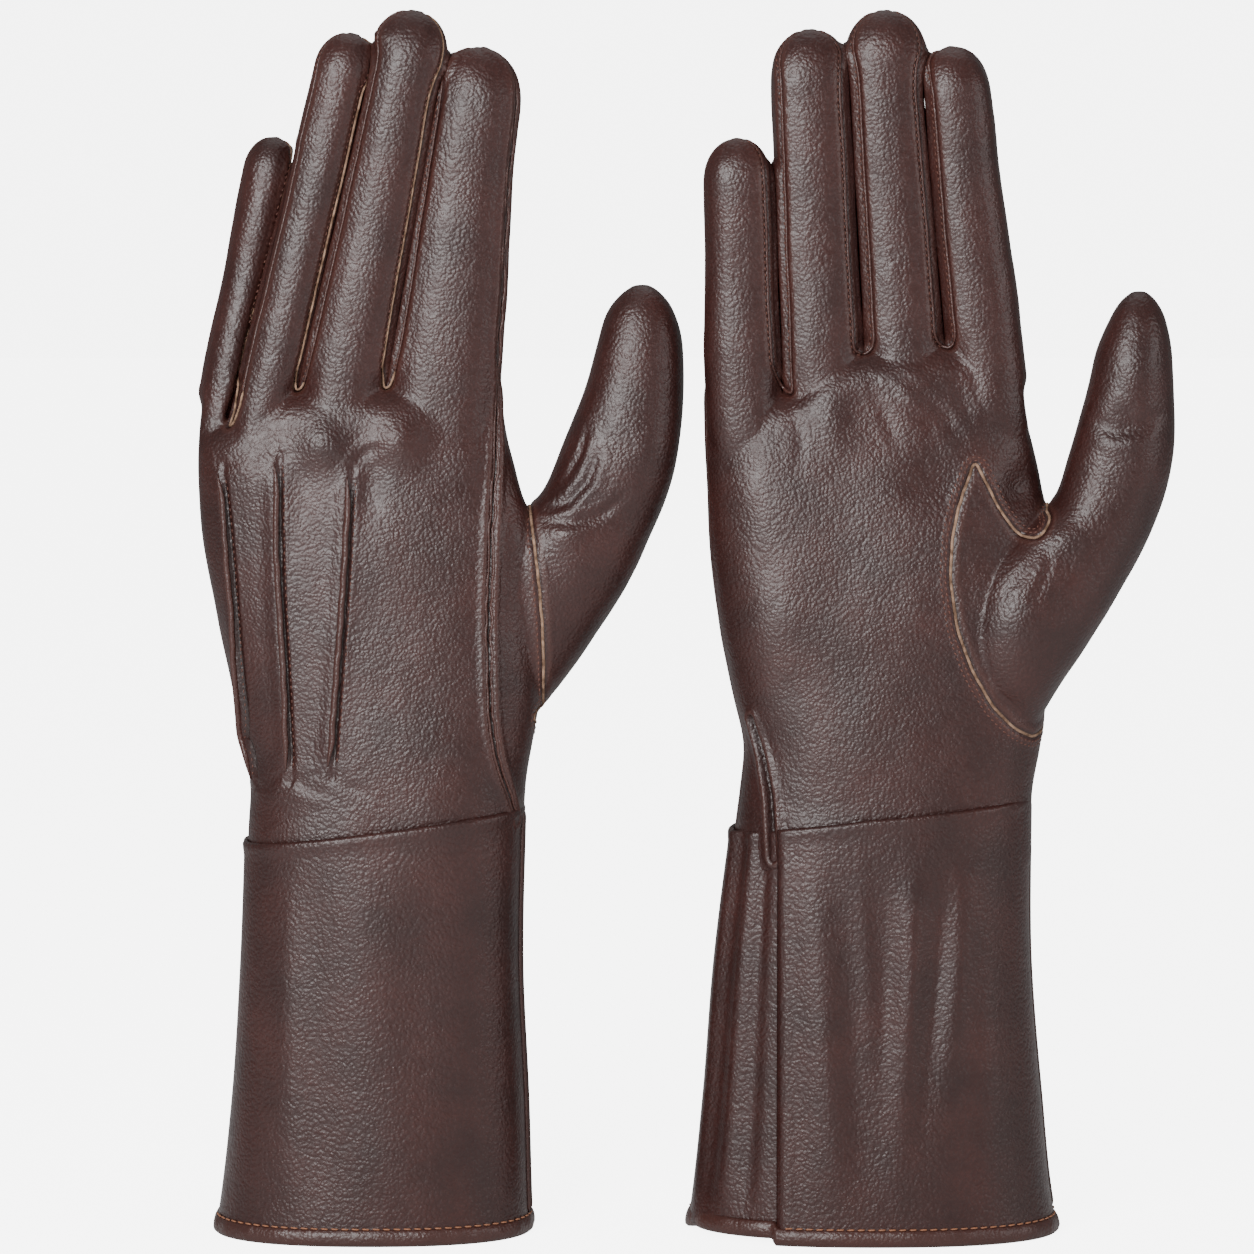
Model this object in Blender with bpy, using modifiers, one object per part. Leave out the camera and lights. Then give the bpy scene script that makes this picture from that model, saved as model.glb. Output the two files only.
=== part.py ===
# Pair of dress gloves in leather, standing on their hems, fingers up, one beside the other.
# Worked in millimetres and turned into metres where a mesh is made.
import math

import bmesh
import bpy
import numpy as np
from mathutils import Vector

mm = 0.001

# leather and trims
skin = 1.2                # glove leather
cuffSkin = 1.5            # cuff leather, turned at the hem
liningSkin = 0.7
gap = 0.4                 # between two sewn edges
seat = 0.35               # between a trim and the leather under it
fingerGap = 0.65          # half the gap between a finger's back and front panel
thumbGap = 1.3            # half the gap where the thumb bends, and round its inset
pipingRadius = 0.8
pointRadius = 1.0
hemHeight = 4.2
hemWide = 3.4
liningInset = 4.6         # face of the cuff to face of its lining
foldStep = 2.2            # how far the gusset sits behind the palm panel's fold

# where the fingers bend: one line across the palm, the backs of the fingers start lower
bendSlope = 0.13
bendBackDrop = 0.28
bendDepth = 9.0           # of the line, from the middle of the hand towards the palm

# thumb bend, in the left hand's frame
thumbBendIn = (44.5, 199.5)
thumbBendOut = (75.0, 187.5)
thumbBendDepth = 14.5

squareness = 2.4          # 2 is an ellipse

leftGlove = {
    "name": "left",
    "palm": 1,            # +1 when the palm faces away from the front
    "at": -83.1,
    "bendAt": 238.0,
    "seam": ((-38.0, 106.8), (38.0, 116.4)),
    "cuff": {
        "z": (0, 5, 37, 72, 118),
        "ulnar": (-46.0, -45.2, -41.9, -39.7, -37.8),
        "thumb": (40.3, 40.1, 39.2, 37.7, 38.6),
        "deep": (27.5, 27.2, 25.5, 24.0, 22.4),
    },
    "fold": (-31.5, -30.0),
    "hand": {
        "z": (104, 123, 141, 168, 190, 210, 223, 243),
        "ulnar": (-36.8, -36.8, -41.1, -46.6, -49.9, -50.7, -49.3, -44.5),
        "thumb": (38.2, 39.6, 43.2, 43.6, 41.2, 34.6, 31.6, 31.4),
        "back": (21.2, 19.8, 18.0, 16.0, 14.8, 13.2, 11.6, 9.6),
        "palm": (21.2, 20.0, 19.4, 18.6, 16.8, 14.4, 12.6, 11.0),
    },
    "sideSeam": {"z": (104, 124, 129, 141, 152, 212, 245), "x": (37.0, 36.0, 34.8, 31.0, 29.8, 29.8, 30.2)},
    "points": (((-43.0, 206.0), (-38.5, 160.0), (-35.0, 126.0)),
               ((-28.0, 210.0), (-26.5, 170.0), (-25.0, 128.5)),
               ((-8.5, 206.5), (-11.5, 165.0), (-13.7, 129.5))),
    "fingers": {
        "pinky": {"base": (-40.9, 4.8), "tip": (-31.2, 8.6, 295.0), "wide": (12.6, 12.6), "thick": (13.6, 12.0)},
        "ring": {"base": (-26.6, -0.6), "tip": (-11.2, 0.8, 323.5), "wide": (15.6, 15.0), "thick": (16.4, 14.6)},
        "middle": {"base": (-8.0, -1.2), "tip": (6.6, -1.4, 330.0), "wide": (19.4, 17.8), "thick": (17.4, 15.2)},
        "index": {"base": (17.0, -0.4), "tip": (25.4, 0.6, 320.0), "wide": (25.6, 19.0), "thick": (17.6, 15.4)},
    },
    "thumbTip": (70.0, 5.0, 253.4),
}

rightGlove = {
    "name": "right",
    "palm": -1,
    "at": 53.9,
    "bendAt": 241.0,
    "seam": ((-38.0, 110.5), (40.0, 119.2)),
    "cuff": {
        "z": (0, 5, 37, 72, 121),
        "ulnar": (-53.4, -52.6, -49.3, -46.6, -39.6),
        "thumb": (47.1, 46.0, 42.5, 40.5, 40.6),
        "deep": (28.5, 28.2, 26.0, 24.2, 22.6),
    },
    "fold": (-31.0, -31.0),
    "hand": {
        "z": (107, 120, 133, 147, 174, 201, 223, 246),
        "ulnar": (-38.2, -36.6, -35.8, -39.7, -45.2, -47.9, -49.3, -49.3),
        "thumb": (39.8, 40.2, 42.2, 44.0, 44.6, 42.0, 37.2, 35.6),
        "back": (21.4, 20.0, 19.0, 17.8, 16.0, 14.2, 11.8, 9.8),
        "palm": (21.4, 20.4, 19.8, 19.4, 18.6, 15.8, 12.8, 11.0),
    },
    "sideSeam": {"z": (107, 124, 132, 145, 155, 212, 248), "x": (38.0, 37.0, 35.6, 33.0, 32.0, 31.8, 33.0)},
    "points": (((-41.5, 206.0), (-37.5, 160.0), (-33.0, 131.0)),
               ((-26.0, 210.0), (-25.0, 170.0), (-22.5, 133.0)),
               ((-6.5, 206.5), (-9.5, 165.0), (-11.2, 134.0))),
    "fingers": {
        "pinky": {"base": (-38.6, 2.4), "tip": (-41.0, 4.2, 294.5), "wide": (18.6, 15.4), "thick": (14.6, 12.6)},
        "ring": {"base": (-16.4, 0.2), "tip": (-20.2, 0.6, 324.7), "wide": (19.4, 17.0), "thick": (16.6, 14.6)},
        "middle": {"base": (5.0, -0.8), "tip": (0.2, -0.6, 330.0), "wide": (19.4, 17.4), "thick": (17.4, 15.2)},
        "index": {"base": (26.0, -0.2), "tip": (19.4, 0.6, 319.7), "wide": (18.6, 15.8), "thick": (17.4, 15.2)},
    },
    "thumbTip": (69.3, 5.0, 252.0),
}

# edge of the thumb's inset, round from the crotch down the back and up the palm: x, z, and which side
insetEdge = ((42.8, 196.0, 0), (42.8, 184.0, -1), (43.2, 170.0, -1), (43.8, 154.0, -1), (43.0, 139.5, 0),
             (33.0, 139.5, 1), (22.0, 155.0, 1), (16.4, 172.0, 1), (15.6, 188.0, 1), (20.0, 203.0, 1),
             (28.0, 206.0, 1), (36.6, 202.0, 1))


for old in list(bpy.data.objects):
    bpy.data.objects.remove(old, do_unlink=True)

gloves = bpy.data.collections.new("leather_gloves")
cutters = bpy.data.collections.new("cutters")
bpy.context.scene.collection.children.link(gloves)
bpy.context.scene.collection.children.link(cutters)
cutters.hide_render = True


def material(name, colour, rough):
    made = bpy.data.materials.new(name)
    made.use_nodes = True
    shader = made.node_tree.nodes["Principled BSDF"]
    shader.inputs["Base Color"].default_value = (*colour, 1)
    shader.inputs["Roughness"].default_value = rough
    return made


def place(glove, points, origin):
    # glove frame in mm to metres, about the piece's own origin
    out = []
    for x, y, z in points:
        out.append(((x - origin[0]) * mm, (y - origin[1]) * mm * glove["palm"], (z - origin[2]) * mm))
    return out


def worldPlace(glove, point):
    return Vector(((glove["at"] + point[0]) * mm, point[1] * mm * glove["palm"], point[2] * mm))


def addObject(glove, name, mesh, look, origin):
    obj = bpy.data.objects.new(glove["name"] + "_" + name, mesh)
    obj.location = worldPlace(glove, origin)
    obj.data.materials.append(material(obj.name, *look))
    gloves.objects.link(obj)
    return obj


# A sewn panel: rows of points on its outer face, thickened inwards. The last row may be a single point.
def panel(glove, name, rows, thick, look, origin=(0, 0, 0), loop=False, even=True):
    mesh = bpy.data.meshes.new(glove["name"] + "_" + name)
    work = bmesh.new()
    made = [[work.verts.new(p) for p in place(glove, row, origin)] for row in rows]
    for low, high in zip(made, made[1:]):
        count = len(low) if loop else len(low) - 1
        for i in range(count):
            j = (i + 1) % len(low)
            if len(high) == 1:
                face = [low[i], low[j], high[0]]
            else:
                face = [low[i], low[j], high[j], high[i]]
            if glove["palm"] < 0:
                face.reverse()
            work.faces.new(face)
    work.to_mesh(mesh)
    work.free()
    obj = addObject(glove, name, mesh, look, origin)
    shell = obj.modifiers.new("thickness", "SOLIDIFY")
    shell.thickness = thick * mm
    shell.offset = -1
    shell.use_even_offset = even
    return obj


# A trim laid over a seam: a round bead along a path.
def bead(glove, name, path, radius, look, origin=(0, 0, 0)):
    curve = bpy.data.curves.new(glove["name"] + "_" + name, "CURVE")
    curve.dimensions = "3D"
    curve.bevel_depth = radius * mm
    curve.bevel_resolution = 1
    curve.use_fill_caps = True
    line = curve.splines.new("POLY")
    line.points.add(len(path) - 1)
    for spot, p in zip(line.points, place(glove, path, origin)):
        spot.co = (*p, 1)
    obj = bpy.data.objects.new(glove["name"] + "_" + name, curve)
    obj.location = worldPlace(glove, origin)
    curve.materials.append(material(obj.name, *look))
    gloves.objects.link(obj)
    return obj


def between(table, key, z):
    return float(np.interp(z, table["z"], table[key]))


def oval(left, right, back, palm, angle):
    middle = (left + right) / 2
    half = (right - left) / 2
    c, s = math.cos(angle), math.sin(angle)
    power = 2 / squareness
    deep = palm if s > 0 else back
    return (middle + half * math.copysign(abs(c) ** power, c), deep * math.copysign(abs(s) ** power, s))


def handOval(glove, z, angle, out=0.0):
    t = glove["hand"]
    return oval(between(t, "ulnar", z) - out, between(t, "thumb", z) + out,
                between(t, "back", z) + out, between(t, "palm", z) + out, angle)


def cuffOval(glove, z, angle, out=0.0):
    t = glove["cuff"]
    deep = between(t, "deep", z) + out
    return oval(between(t, "ulnar", z) - out, between(t, "thumb", z) + out, deep, deep, angle)


def angleAt(left, right, x, back):
    middle = (left + right) / 2
    half = (right - left) / 2
    c = max(-0.999, min(0.999, (x - middle) / half))
    angle = math.acos(math.copysign(abs(c) ** (squareness / 2), c))
    return 2 * math.pi - angle if back else angle


def seamZ(glove, x):
    (x0, z0), (x1, z1) = glove["seam"]
    return z0 + (z1 - z0) * (x - x0) / (x1 - x0)


def bendZ(glove, x, y):
    return glove["bendAt"] + bendSlope * x + bendBackDrop * (y - bendDepth)


# point on the hand's skin, v from the wrist seam (0) to the line where the fingers bend (1)
def handPoint(glove, v, angle, out=0.0):
    x, y = handOval(glove, 170, angle, out)
    for _ in range(6):
        low = seamZ(glove, x) + gap
        high = bendZ(glove, x, y) - gap / 2
        z = low + v * (high - low)
        x, y = handOval(glove, z, angle, out)
    return (x, y, z)


def sideAngle(glove, z):
    x = between(glove["sideSeam"], "x", z)
    return angleAt(between(glove["hand"], "ulnar", z), between(glove["hand"], "thumb", z), x, True)


def steps(a, b, count):
    return [a + (b - a) * i / (count - 1) for i in range(count)]


leatherLook = ((0.074, 0.035, 0.029), 0.42)
rimLook = ((0.12, 0.055, 0.035), 0.6)
clothLook = ((0.05, 0.03, 0.026), 0.9)


def buildCuff(glove):
    ulnarTurn = math.radians(183)
    foldLow, foldHigh = glove["fold"]
    backRows, palmRows, gussetRows = [], [], []
    for v in (0, 0.14, 0.38, 0.62, 0.84, 1):
        z0 = hemHeight + seat + v * (108 - hemHeight)
        left = between(glove["cuff"], "ulnar", z0)
        right = between(glove["cuff"], "thumb", z0)
        fold = angleAt(left, right, foldLow + (foldHigh - foldLow) * v, False)

        def at(angle, inward=0.0):
            x, y = cuffOval(glove, z0, angle, -inward)
            for _ in range(3):
                z = hemHeight + seat + v * (seamZ(glove, x) - hemHeight - seat)
                x, y = cuffOval(glove, z, angle, -inward)
            return (x, y, z)

        backRows.append([at(a) for a in steps(ulnarTurn, math.radians(358.6), 12)])
        palmRows.append([at(a) for a in steps(math.radians(1.4), fold, 10)])
        gusset = []
        for i, a in enumerate(steps(fold - math.radians(4), ulnarTurn - math.radians(1.6), 6)):
            gusset.append(at(a, (foldStep + gap if i < 2 else foldStep * max(0, (4 - i)) / 4)))
        gussetRows.append(gusset)
    panel(glove, "cuff_back", backRows, cuffSkin, leatherLook)
    panel(glove, "cuff_palm", palmRows, cuffSkin, leatherLook)
    panel(glove, "cuff_gusset", gussetRows, cuffSkin, leatherLook)

    lining = []
    for z in (hemHeight + 0.4, 36, 72, 101):
        lining.append([(*cuffOval(glove, z, a, -liningInset), z) for a in steps(0, 2 * math.pi, 25)[:-1]])
    panel(glove, "cuff_lining", lining, liningSkin, clothLook, loop=True)

    # the turned hem the glove stands on, a closed ring with a flat underside
    rim = ((0.9, 0.9), (0.9, hemHeight - 0.9), (0.2, hemHeight), (0.2 - hemWide + 0.8, hemHeight),
           (0.9 - hemWide, hemHeight - 0.9), (0.9 - hemWide, 0.9), (0.2 - hemWide + 0.9, 0), (0.2, 0))
    mesh = bpy.data.meshes.new(glove["name"] + "_cuff_hem")
    work = bmesh.new()
    rings = []
    for a in steps(0, 2 * math.pi, 37)[:-1]:
        ring = [(*cuffOval(glove, z, a, out), z) for out, z in rim]
        rings.append([work.verts.new(p) for p in place(glove, ring, (0, 0, 0))])
    for i in range(len(rings)):
        here, there = rings[i], rings[(i + 1) % len(rings)]
        for k in range(len(rim)):
            n = (k + 1) % len(rim)
            face = [here[k], there[k], there[n], here[n]]
            if glove["palm"] < 0:
                face.reverse()
            work.faces.new(face)
    work.to_mesh(mesh)
    work.free()
    addObject(glove, "cuff_hem", mesh, leatherLook, (0, 0, 0))

    out = pipingRadius + seat
    path = [(*cuffOval(glove, z, 0, out), z) for z in steps(hemHeight + 2.2, seamZ(glove, 38) - 2.0, 6)]
    bead(glove, "cuff_side_piping", path, pipingRadius, rimLook)


def insetPath(glove):
    # twenty four points round the inset's edge, on the hand's skin
    knots = []
    for x, z, side in insetEdge:
        t = glove["hand"]
        left, right = between(t, "ulnar", z), between(t, "thumb", z)
        if side == 0:
            knots.append((right + 0.2, 0.0, z))
        else:
            angle = angleAt(left, right, min(x, right - 0.6), side < 0)
            px, py = handOval(glove, z, angle)
            knots.append((px, py, z))
    foot = next(i for i, k in enumerate(insetEdge) if i and k[2] == 0)
    path = []
    for run in (knots[: foot + 1], knots[foot:] + knots[:1]):
        far = np.cumsum([0] + [math.dist(a, b) for a, b in zip(run, run[1:])])
        for want in steps(0, far[-1], 13)[:-1]:
            path.append(tuple(float(np.interp(want, far, [k[axis] for k in run])) for axis in range(3)))
    return path


# the inset's edge moved outwards from the thumb, over the skin it is sewn to
def grownInset(glove, by):
    path = insetPath(glove)
    out = []
    for i, (x, y, z) in enumerate(path):
        before, after = path[i - 1], path[(i + 1) % len(path)]
        along = Vector((after[0] - before[0], 0, after[2] - before[2])).normalized()
        away = Vector((-along.z, 0, along.x)) * by
        if y <= 0.01:
            away = Vector((-by * 4, 0, 0)) if by > 0 else Vector((-by, 0, 0))
        if i == 0 or abs(y) < 0.01:
            away = Vector((0, 0, by * 5 if z > 172 else -by))
        out.append((x + away.x, y, z + away.z))
    return out


def thumbFrame(glove):
    inner = Vector((thumbBendIn[0], thumbBendDepth, thumbBendIn[1]))
    outer = Vector((thumbBendOut[0], thumbBendDepth, thumbBendOut[1]))
    along = (outer - inner).normalized()
    middle = (inner + outer) / 2
    middle.y = 3.4
    return inner, along, middle, (outer - inner).length / 2


def buildThumb(glove):
    inner, along, middle, half = thumbFrame(glove)
    up = Vector((-along.z, 0, along.x))
    deep = 11.4
    count = 24

    def ringAt(centre, across, wide, thick, shift):
        ring = []
        for i in range(count):
            a = 2 * math.pi * i / count
            ring.append(tuple(centre - across * wide * math.cos(a) - Vector((0, 1, 0)) * thick * math.sin(a) + shift))
        return ring

    foot = ringAt(middle, along, half, deep, up * -thumbGap)
    edge = grownInset(glove, -thumbGap)
    rows = []
    for t in (0, 0.25, 0.55, 0.8, 1):
        row = []
        for i in range(count):
            a = 2 * math.pi * i / count
            swell = math.sin(math.pi * t) * 4.0
            p = Vector(edge[i]) * (1 - t) + Vector(foot[i]) * t
            p += Vector((0.8 * max(0, -math.cos(a)), -math.sin(a), 0)) * swell
            row.append(tuple(p))
        rows.append(row)
    panel(glove, "thumb_base", [list(reversed(r)) for r in rows], skin, leatherLook, loop=True, even=False)

    tip = Vector(glove["thumbTip"])
    rows = []
    hinge = Vector((middle.x, thumbBendDepth, middle.z))
    axisLow = middle
    for s, wide, thick in ((0, half, deep), (0.18, 15.0, 11.2), (0.42, 14.2, 10.9), (0.66, 13.2, 10.4),
                           (0.82, 11.2, 9.2), (0.92, 8.4, 7.0), (0.98, 4.6, 3.9)):
        centre = axisLow.lerp(tip, s) + Vector((1.6, 0, 0)) * math.sin(math.pi * s)
        lean = (tip - axisLow).normalized()
        across = Vector((lean.z, 0, -lean.x)).lerp(along, max(0, 1 - s / 0.3)).normalized()
        rows.append(list(reversed(ringAt(centre, across, wide, thick, up * (thumbGap if s == 0 else 0)))))
    rows.append([tuple(tip)])
    panel(glove, "thumb_sheath", rows, skin, leatherLook, tuple(hinge), loop=True)


def cutPalmHole(glove, palm):
    # the palm panel is cut away under the inset: deep side towards the palm, narrow side round the edge
    edge = grownInset(glove, gap)
    foot = next(i for i, p in enumerate(edge) if i > 2 and abs(p[1]) < 0.01)
    palmEdge = [(x, z) for x, y, z in edge[foot:] + edge[:1]]
    backEdge = [(x, z) for x, y, z in edge[: foot + 1]]
    sides = {
        "palm": (palmEdge + [(62, palmEdge[-1][1]), (62, palmEdge[0][1])], -0.5, 45),
        "back": (backEdge + [(62, backEdge[-1][1]), (62, backEdge[0][1])], -25, 0.5),
    }
    for side, (shape, near, far) in sides.items():
        work = bmesh.new()
        rows = []
        for y in (near, far):
            rows.append([work.verts.new(p) for p in place(glove, [(x, y, z) for x, z in shape], (0, 0, 0))])
        work.faces.new(rows[0])
        work.faces.new(rows[1])
        for i in range(len(shape)):
            j = (i + 1) % len(shape)
            work.faces.new([rows[0][i], rows[0][j], rows[1][j], rows[1][i]])
        bmesh.ops.recalc_face_normals(work, faces=work.faces)
        mesh = bpy.data.meshes.new(glove["name"] + "_cutter_" + side)
        work.to_mesh(mesh)
        work.free()
        cutter = bpy.data.objects.new(mesh.name, mesh)
        cutter.location = worldPlace(glove, (0, 0, 0))
        cutter.hide_render = True
        cutter.display_type = "WIRE"
        cutters.objects.link(cutter)
        cut = palm.modifiers.new("thumb hole " + side, "BOOLEAN")
        cut.operation = "DIFFERENCE"
        cut.solver = "EXACT"
        cut.object = cutter


def buildHand(glove):
    seamGap = math.radians(1.8)
    heights = (0, 0.1, 0.22, 0.36, 0.5, 0.66, 0.8, 0.92, 1)
    backRows, palmRows = [], []
    for v in heights:
        z = 112 + v * 122
        side = sideAngle(glove, z)
        backRows.append([handPoint(glove, v, a) for a in steps(math.radians(182.6), side - seamGap, 12)])
        palmRows.append([handPoint(glove, v, a) for a in steps(side - 2 * math.pi + seamGap, math.radians(177.4), 17)])
    panel(glove, "hand_back", backRows, skin, leatherLook)
    palm = panel(glove, "hand_palm", palmRows, skin, leatherLook)
    cutPalmHole(glove, palm)

    for i, knots in enumerate(glove["points"]):
        path = []
        for t in steps(0, 1, 7):
            x = float(np.interp(t, (0, 0.5, 1), [k[0] for k in knots]))
            z = float(np.interp(t, (0, 0.5, 1), [k[1] for k in knots]))
            left = between(glove["hand"], "ulnar", z)
            right = between(glove["hand"], "thumb", z)
            px, py = handOval(glove, z, angleAt(left, right, x, True))
            path.append((px, py - pointRadius - seat - 0.7, z))
        bead(glove, "point_" + str(i + 1), path, pointRadius, leatherLook)

    path = []
    for v in steps(0.8, 0.985, 4):
        z = 112 + v * 122
        path.append(handPoint(glove, v, sideAngle(glove, z), pipingRadius + seat + 0.15))
    bead(glove, "side_piping", path, pipingRadius, rimLook)
    path = [handPoint(glove, v, math.pi, pipingRadius + seat + 0.15) for v in steps(0.02, 0.985, 9)]
    bead(glove, "ulnar_piping", path, pipingRadius, rimLook)


# height of the side strip on a finger, half of it, tapering out below the tip
def stripHalf(s):
    return 3.4 * max(0.0, 1 - (s / 0.86) ** 2.2)


def buildFinger(glove, name, strips):
    f = glove["fingers"][name]
    bx, by = f["base"]
    base = Vector((bx, by, bendZ(glove, bx, by)))
    tip = Vector(f["tip"])
    axis = (tip - base).normalized()
    length = (tip - base).length
    across = Vector((axis.z, 0, -axis.x)).normalized()
    towardPalm = axis.cross(across)
    hinge = Vector((bx, bendDepth, bendZ(glove, bx, bendDepth)))
    plane = Vector((-bendSlope, -bendBackDrop, 1)).normalized()
    roundAt = 1 - 0.62 * f["wide"][1] / length
    stations = [0, 0.3, 0.62, roundAt]
    stations += [roundAt + (1 - roundAt) * math.sin(math.radians(a)) for a in (36, 62)]

    def size(s):
        w = f["wide"][0] + (f["wide"][1] - f["wide"][0]) * s
        t = f["thick"][0] + (f["thick"][1] - f["thick"][0]) * s
        if s > roundAt:
            k = math.sqrt(max(0.0, 1 - ((s - roundAt) / (1 - roundAt)) ** 2))
            w, t = w * k, t * k
        return w / 2, t / 2

    def at(s, w, t, angle, lift):
        p = base + axis * (length * s) + across * (w * math.cos(angle))
        p += towardPalm * (lift + (t - abs(lift)) * math.sin(angle))
        miss = (gap / 2 - (p - hinge).dot(plane)) / axis.dot(plane)
        if s < 0.3:
            p += axis * (miss if s == 0 else 0)
        return tuple(p)

    def edgeAngle(h, t):
        return math.asin(min(0.98, h / t))

    for side, sign in (("back", -1), ("front", 1)):
        rows = []
        for s in stations:
            w, t = size(s)
            lift = sign * fingerGap
            h = stripHalf(s) + gap if stripHalf(s) > 0.3 else 0.0
            right = edgeAngle(h, t) if "thumbward" in strips else 0.0
            left = edgeAngle(h, t) if "pinkyward" in strips else 0.0
            if sign > 0:
                angles = steps(right, math.pi - left, 7)
            else:
                angles = steps(math.pi + left, 2 * math.pi - right, 7)
            rows.append([at(s, w, t, a, lift) for a in angles])
        last = base + axis * length + towardPalm * (sign * fingerGap)
        rows.append([tuple(last)])
        panel(glove, name + "_" + side, rows, skin, leatherLook, tuple(hinge))
    for strip in strips:
        rows = []
        for s in stations[:4]:
            s = min(s, 0.8)
            w, t = size(s)
            reach = edgeAngle(max(0.35, stripHalf(s) - 0.45), t)
            middle = 0 if strip == "thumbward" else math.pi
            rows.append([at(s, w, t, a, 0.0) for a in steps(middle - reach, middle + reach, 3)])
        panel(glove, name + "_strip_" + strip, rows, skin, leatherLook, tuple(hinge))


for glove in (leftGlove, rightGlove):
    buildCuff(glove)
    buildHand(glove)
    buildThumb(glove)
    buildFinger(glove, "pinky", ("thumbward",))
    buildFinger(glove, "ring", ("pinkyward", "thumbward"))
    buildFinger(glove, "middle", ("pinkyward", "thumbward"))
    buildFinger(glove, "index", ("pinkyward",))

print(len(gloves.objects), "pieces")
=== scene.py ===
# Pair of gauntlet dress gloves in brown hairsheep leather, standing filled on their cuffs.
# The left-hand glove shows its back, the right-hand one its palm.
import math

import bpy
import numpy as np
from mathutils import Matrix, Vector
from mathutils.bvhtree import BVHTree
from mathutils.kdtree import KDTree


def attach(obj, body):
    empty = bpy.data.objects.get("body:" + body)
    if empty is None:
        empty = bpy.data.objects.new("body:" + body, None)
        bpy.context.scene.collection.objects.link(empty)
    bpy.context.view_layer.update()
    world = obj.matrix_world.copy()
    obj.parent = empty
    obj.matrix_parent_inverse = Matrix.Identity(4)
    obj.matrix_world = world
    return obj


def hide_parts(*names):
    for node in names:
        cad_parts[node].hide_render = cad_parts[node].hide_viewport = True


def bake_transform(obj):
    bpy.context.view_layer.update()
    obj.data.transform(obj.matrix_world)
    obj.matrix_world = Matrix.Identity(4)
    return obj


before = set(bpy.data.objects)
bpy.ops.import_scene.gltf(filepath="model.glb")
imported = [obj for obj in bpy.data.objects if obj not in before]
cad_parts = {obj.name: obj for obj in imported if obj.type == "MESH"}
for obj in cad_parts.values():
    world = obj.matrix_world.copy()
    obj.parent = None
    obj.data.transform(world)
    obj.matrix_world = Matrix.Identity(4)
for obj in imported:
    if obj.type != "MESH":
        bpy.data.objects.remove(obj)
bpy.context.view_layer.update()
bpy.ops.object.select_all(action="DESELECT")
mm = 0.001


# camera and light

cameraSetup = {
    "target": (-0.0166, 0.0, 0.1648),
    "distance": 1.60,
    "elevation": 6.0,
    "width": 0.3392,          # seen across the frame at the target
}


def addCamera():
    data = bpy.data.cameras.new("camera")
    camera = bpy.data.objects.new("camera", data)
    bpy.context.scene.collection.objects.link(camera)
    up = math.radians(cameraSetup["elevation"])
    away = Vector((0, -math.cos(up), math.sin(up)))
    camera.location = Vector(cameraSetup["target"]) + away * cameraSetup["distance"]
    camera.rotation_euler = (-away).to_track_quat("-Z", "Y").to_euler()
    data.sensor_width = 36
    data.lens = 36 * cameraSetup["distance"] / cameraSetup["width"]
    data.clip_start = 0.01
    bpy.context.scene.camera = camera


lightSetup = {
    # name: (place, size, watts)
    "key": ((-0.40, -0.92, 0.52), 0.62, 15.0),
    "fill": ((0.85, -0.50, 0.40), 0.6, 2.6),
    "top": ((0.05, 0.20, 1.1), 0.9, 2.0),
    "world": 0.27,            # what lights the gloves
    "sky": 6.0,               # what is seen behind them
}


def addLights():
    for name, setup in lightSetup.items():
        if name in ("world", "sky"):
            continue
        place, size, watts = setup
        data = bpy.data.lights.new(name, "AREA")
        data.shape = "DISK"
        data.size = size
        data.energy = watts
        lamp = bpy.data.objects.new(name, data)
        lamp.location = place
        lamp.rotation_euler = (Vector((0, 0, 0.16)) - Vector(place)).to_track_quat("-Z", "Y").to_euler()
        bpy.context.scene.collection.objects.link(lamp)
    world = bpy.data.worlds.new("studio")
    world.use_nodes = True
    tree = world.node_tree
    background = tree.nodes["Background"]
    background.inputs["Color"].default_value = (1, 1, 1, 1)
    seen = tree.nodes.new("ShaderNodeLightPath")
    strength = tree.nodes.new("ShaderNodeMapRange")
    strength.inputs["To Min"].default_value = lightSetup["world"]
    strength.inputs["To Max"].default_value = lightSetup["sky"]
    tree.links.new(seen.outputs["Is Camera Ray"], strength.inputs["Value"])
    tree.links.new(strength.outputs[0], background.inputs["Strength"])
    bpy.context.scene.world = world


addCamera()
addLights()
print("camera and lights")


# materials

def linear(code):
    out = []
    for i in (0, 2, 4):
        c = int(code[i:i + 2], 16) / 255
        out.append(c / 12.92 if c <= 0.04045 else ((c + 0.055) / 1.055) ** 2.4)
    return (*out, 1)


def node(tree, kind, settings=None, inputs=None):
    made = tree.nodes.new(kind)
    for key, value in (settings or {}).items():
        setattr(made, key, value)
    for key, value in (inputs or {}).items():
        if isinstance(value, bpy.types.NodeSocket):
            tree.links.new(value, made.inputs[key])
        else:
            made.inputs[key].default_value = value
    return made


def newMaterial(name, shaderInputs):
    made = bpy.data.materials.new(name)
    made.use_nodes = True
    shader = made.node_tree.nodes["Principled BSDF"]
    for key, value in shaderInputs.items():
        shader.inputs[key].default_value = value
    return made, made.node_tree, shader


leatherSetup = {
    "grain": 0.9,             # one pebble of the grain, mm: drawn half as large again as life, or it would not show
    "wrinkle": 2.6,           # fine creases between the pebbles, mm
    "mottle": 16.0,           # where the dye took more or less, mm
    "dark": "2c1310",
    "light": "3b1c18",
    "wearAndHighlight": "5c3a32",         # rubbed wear and painted highlight along rolled edges
    "deep": "1d0e0c",         # in the pores of the grain, and painted shade in the seams
}


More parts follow.
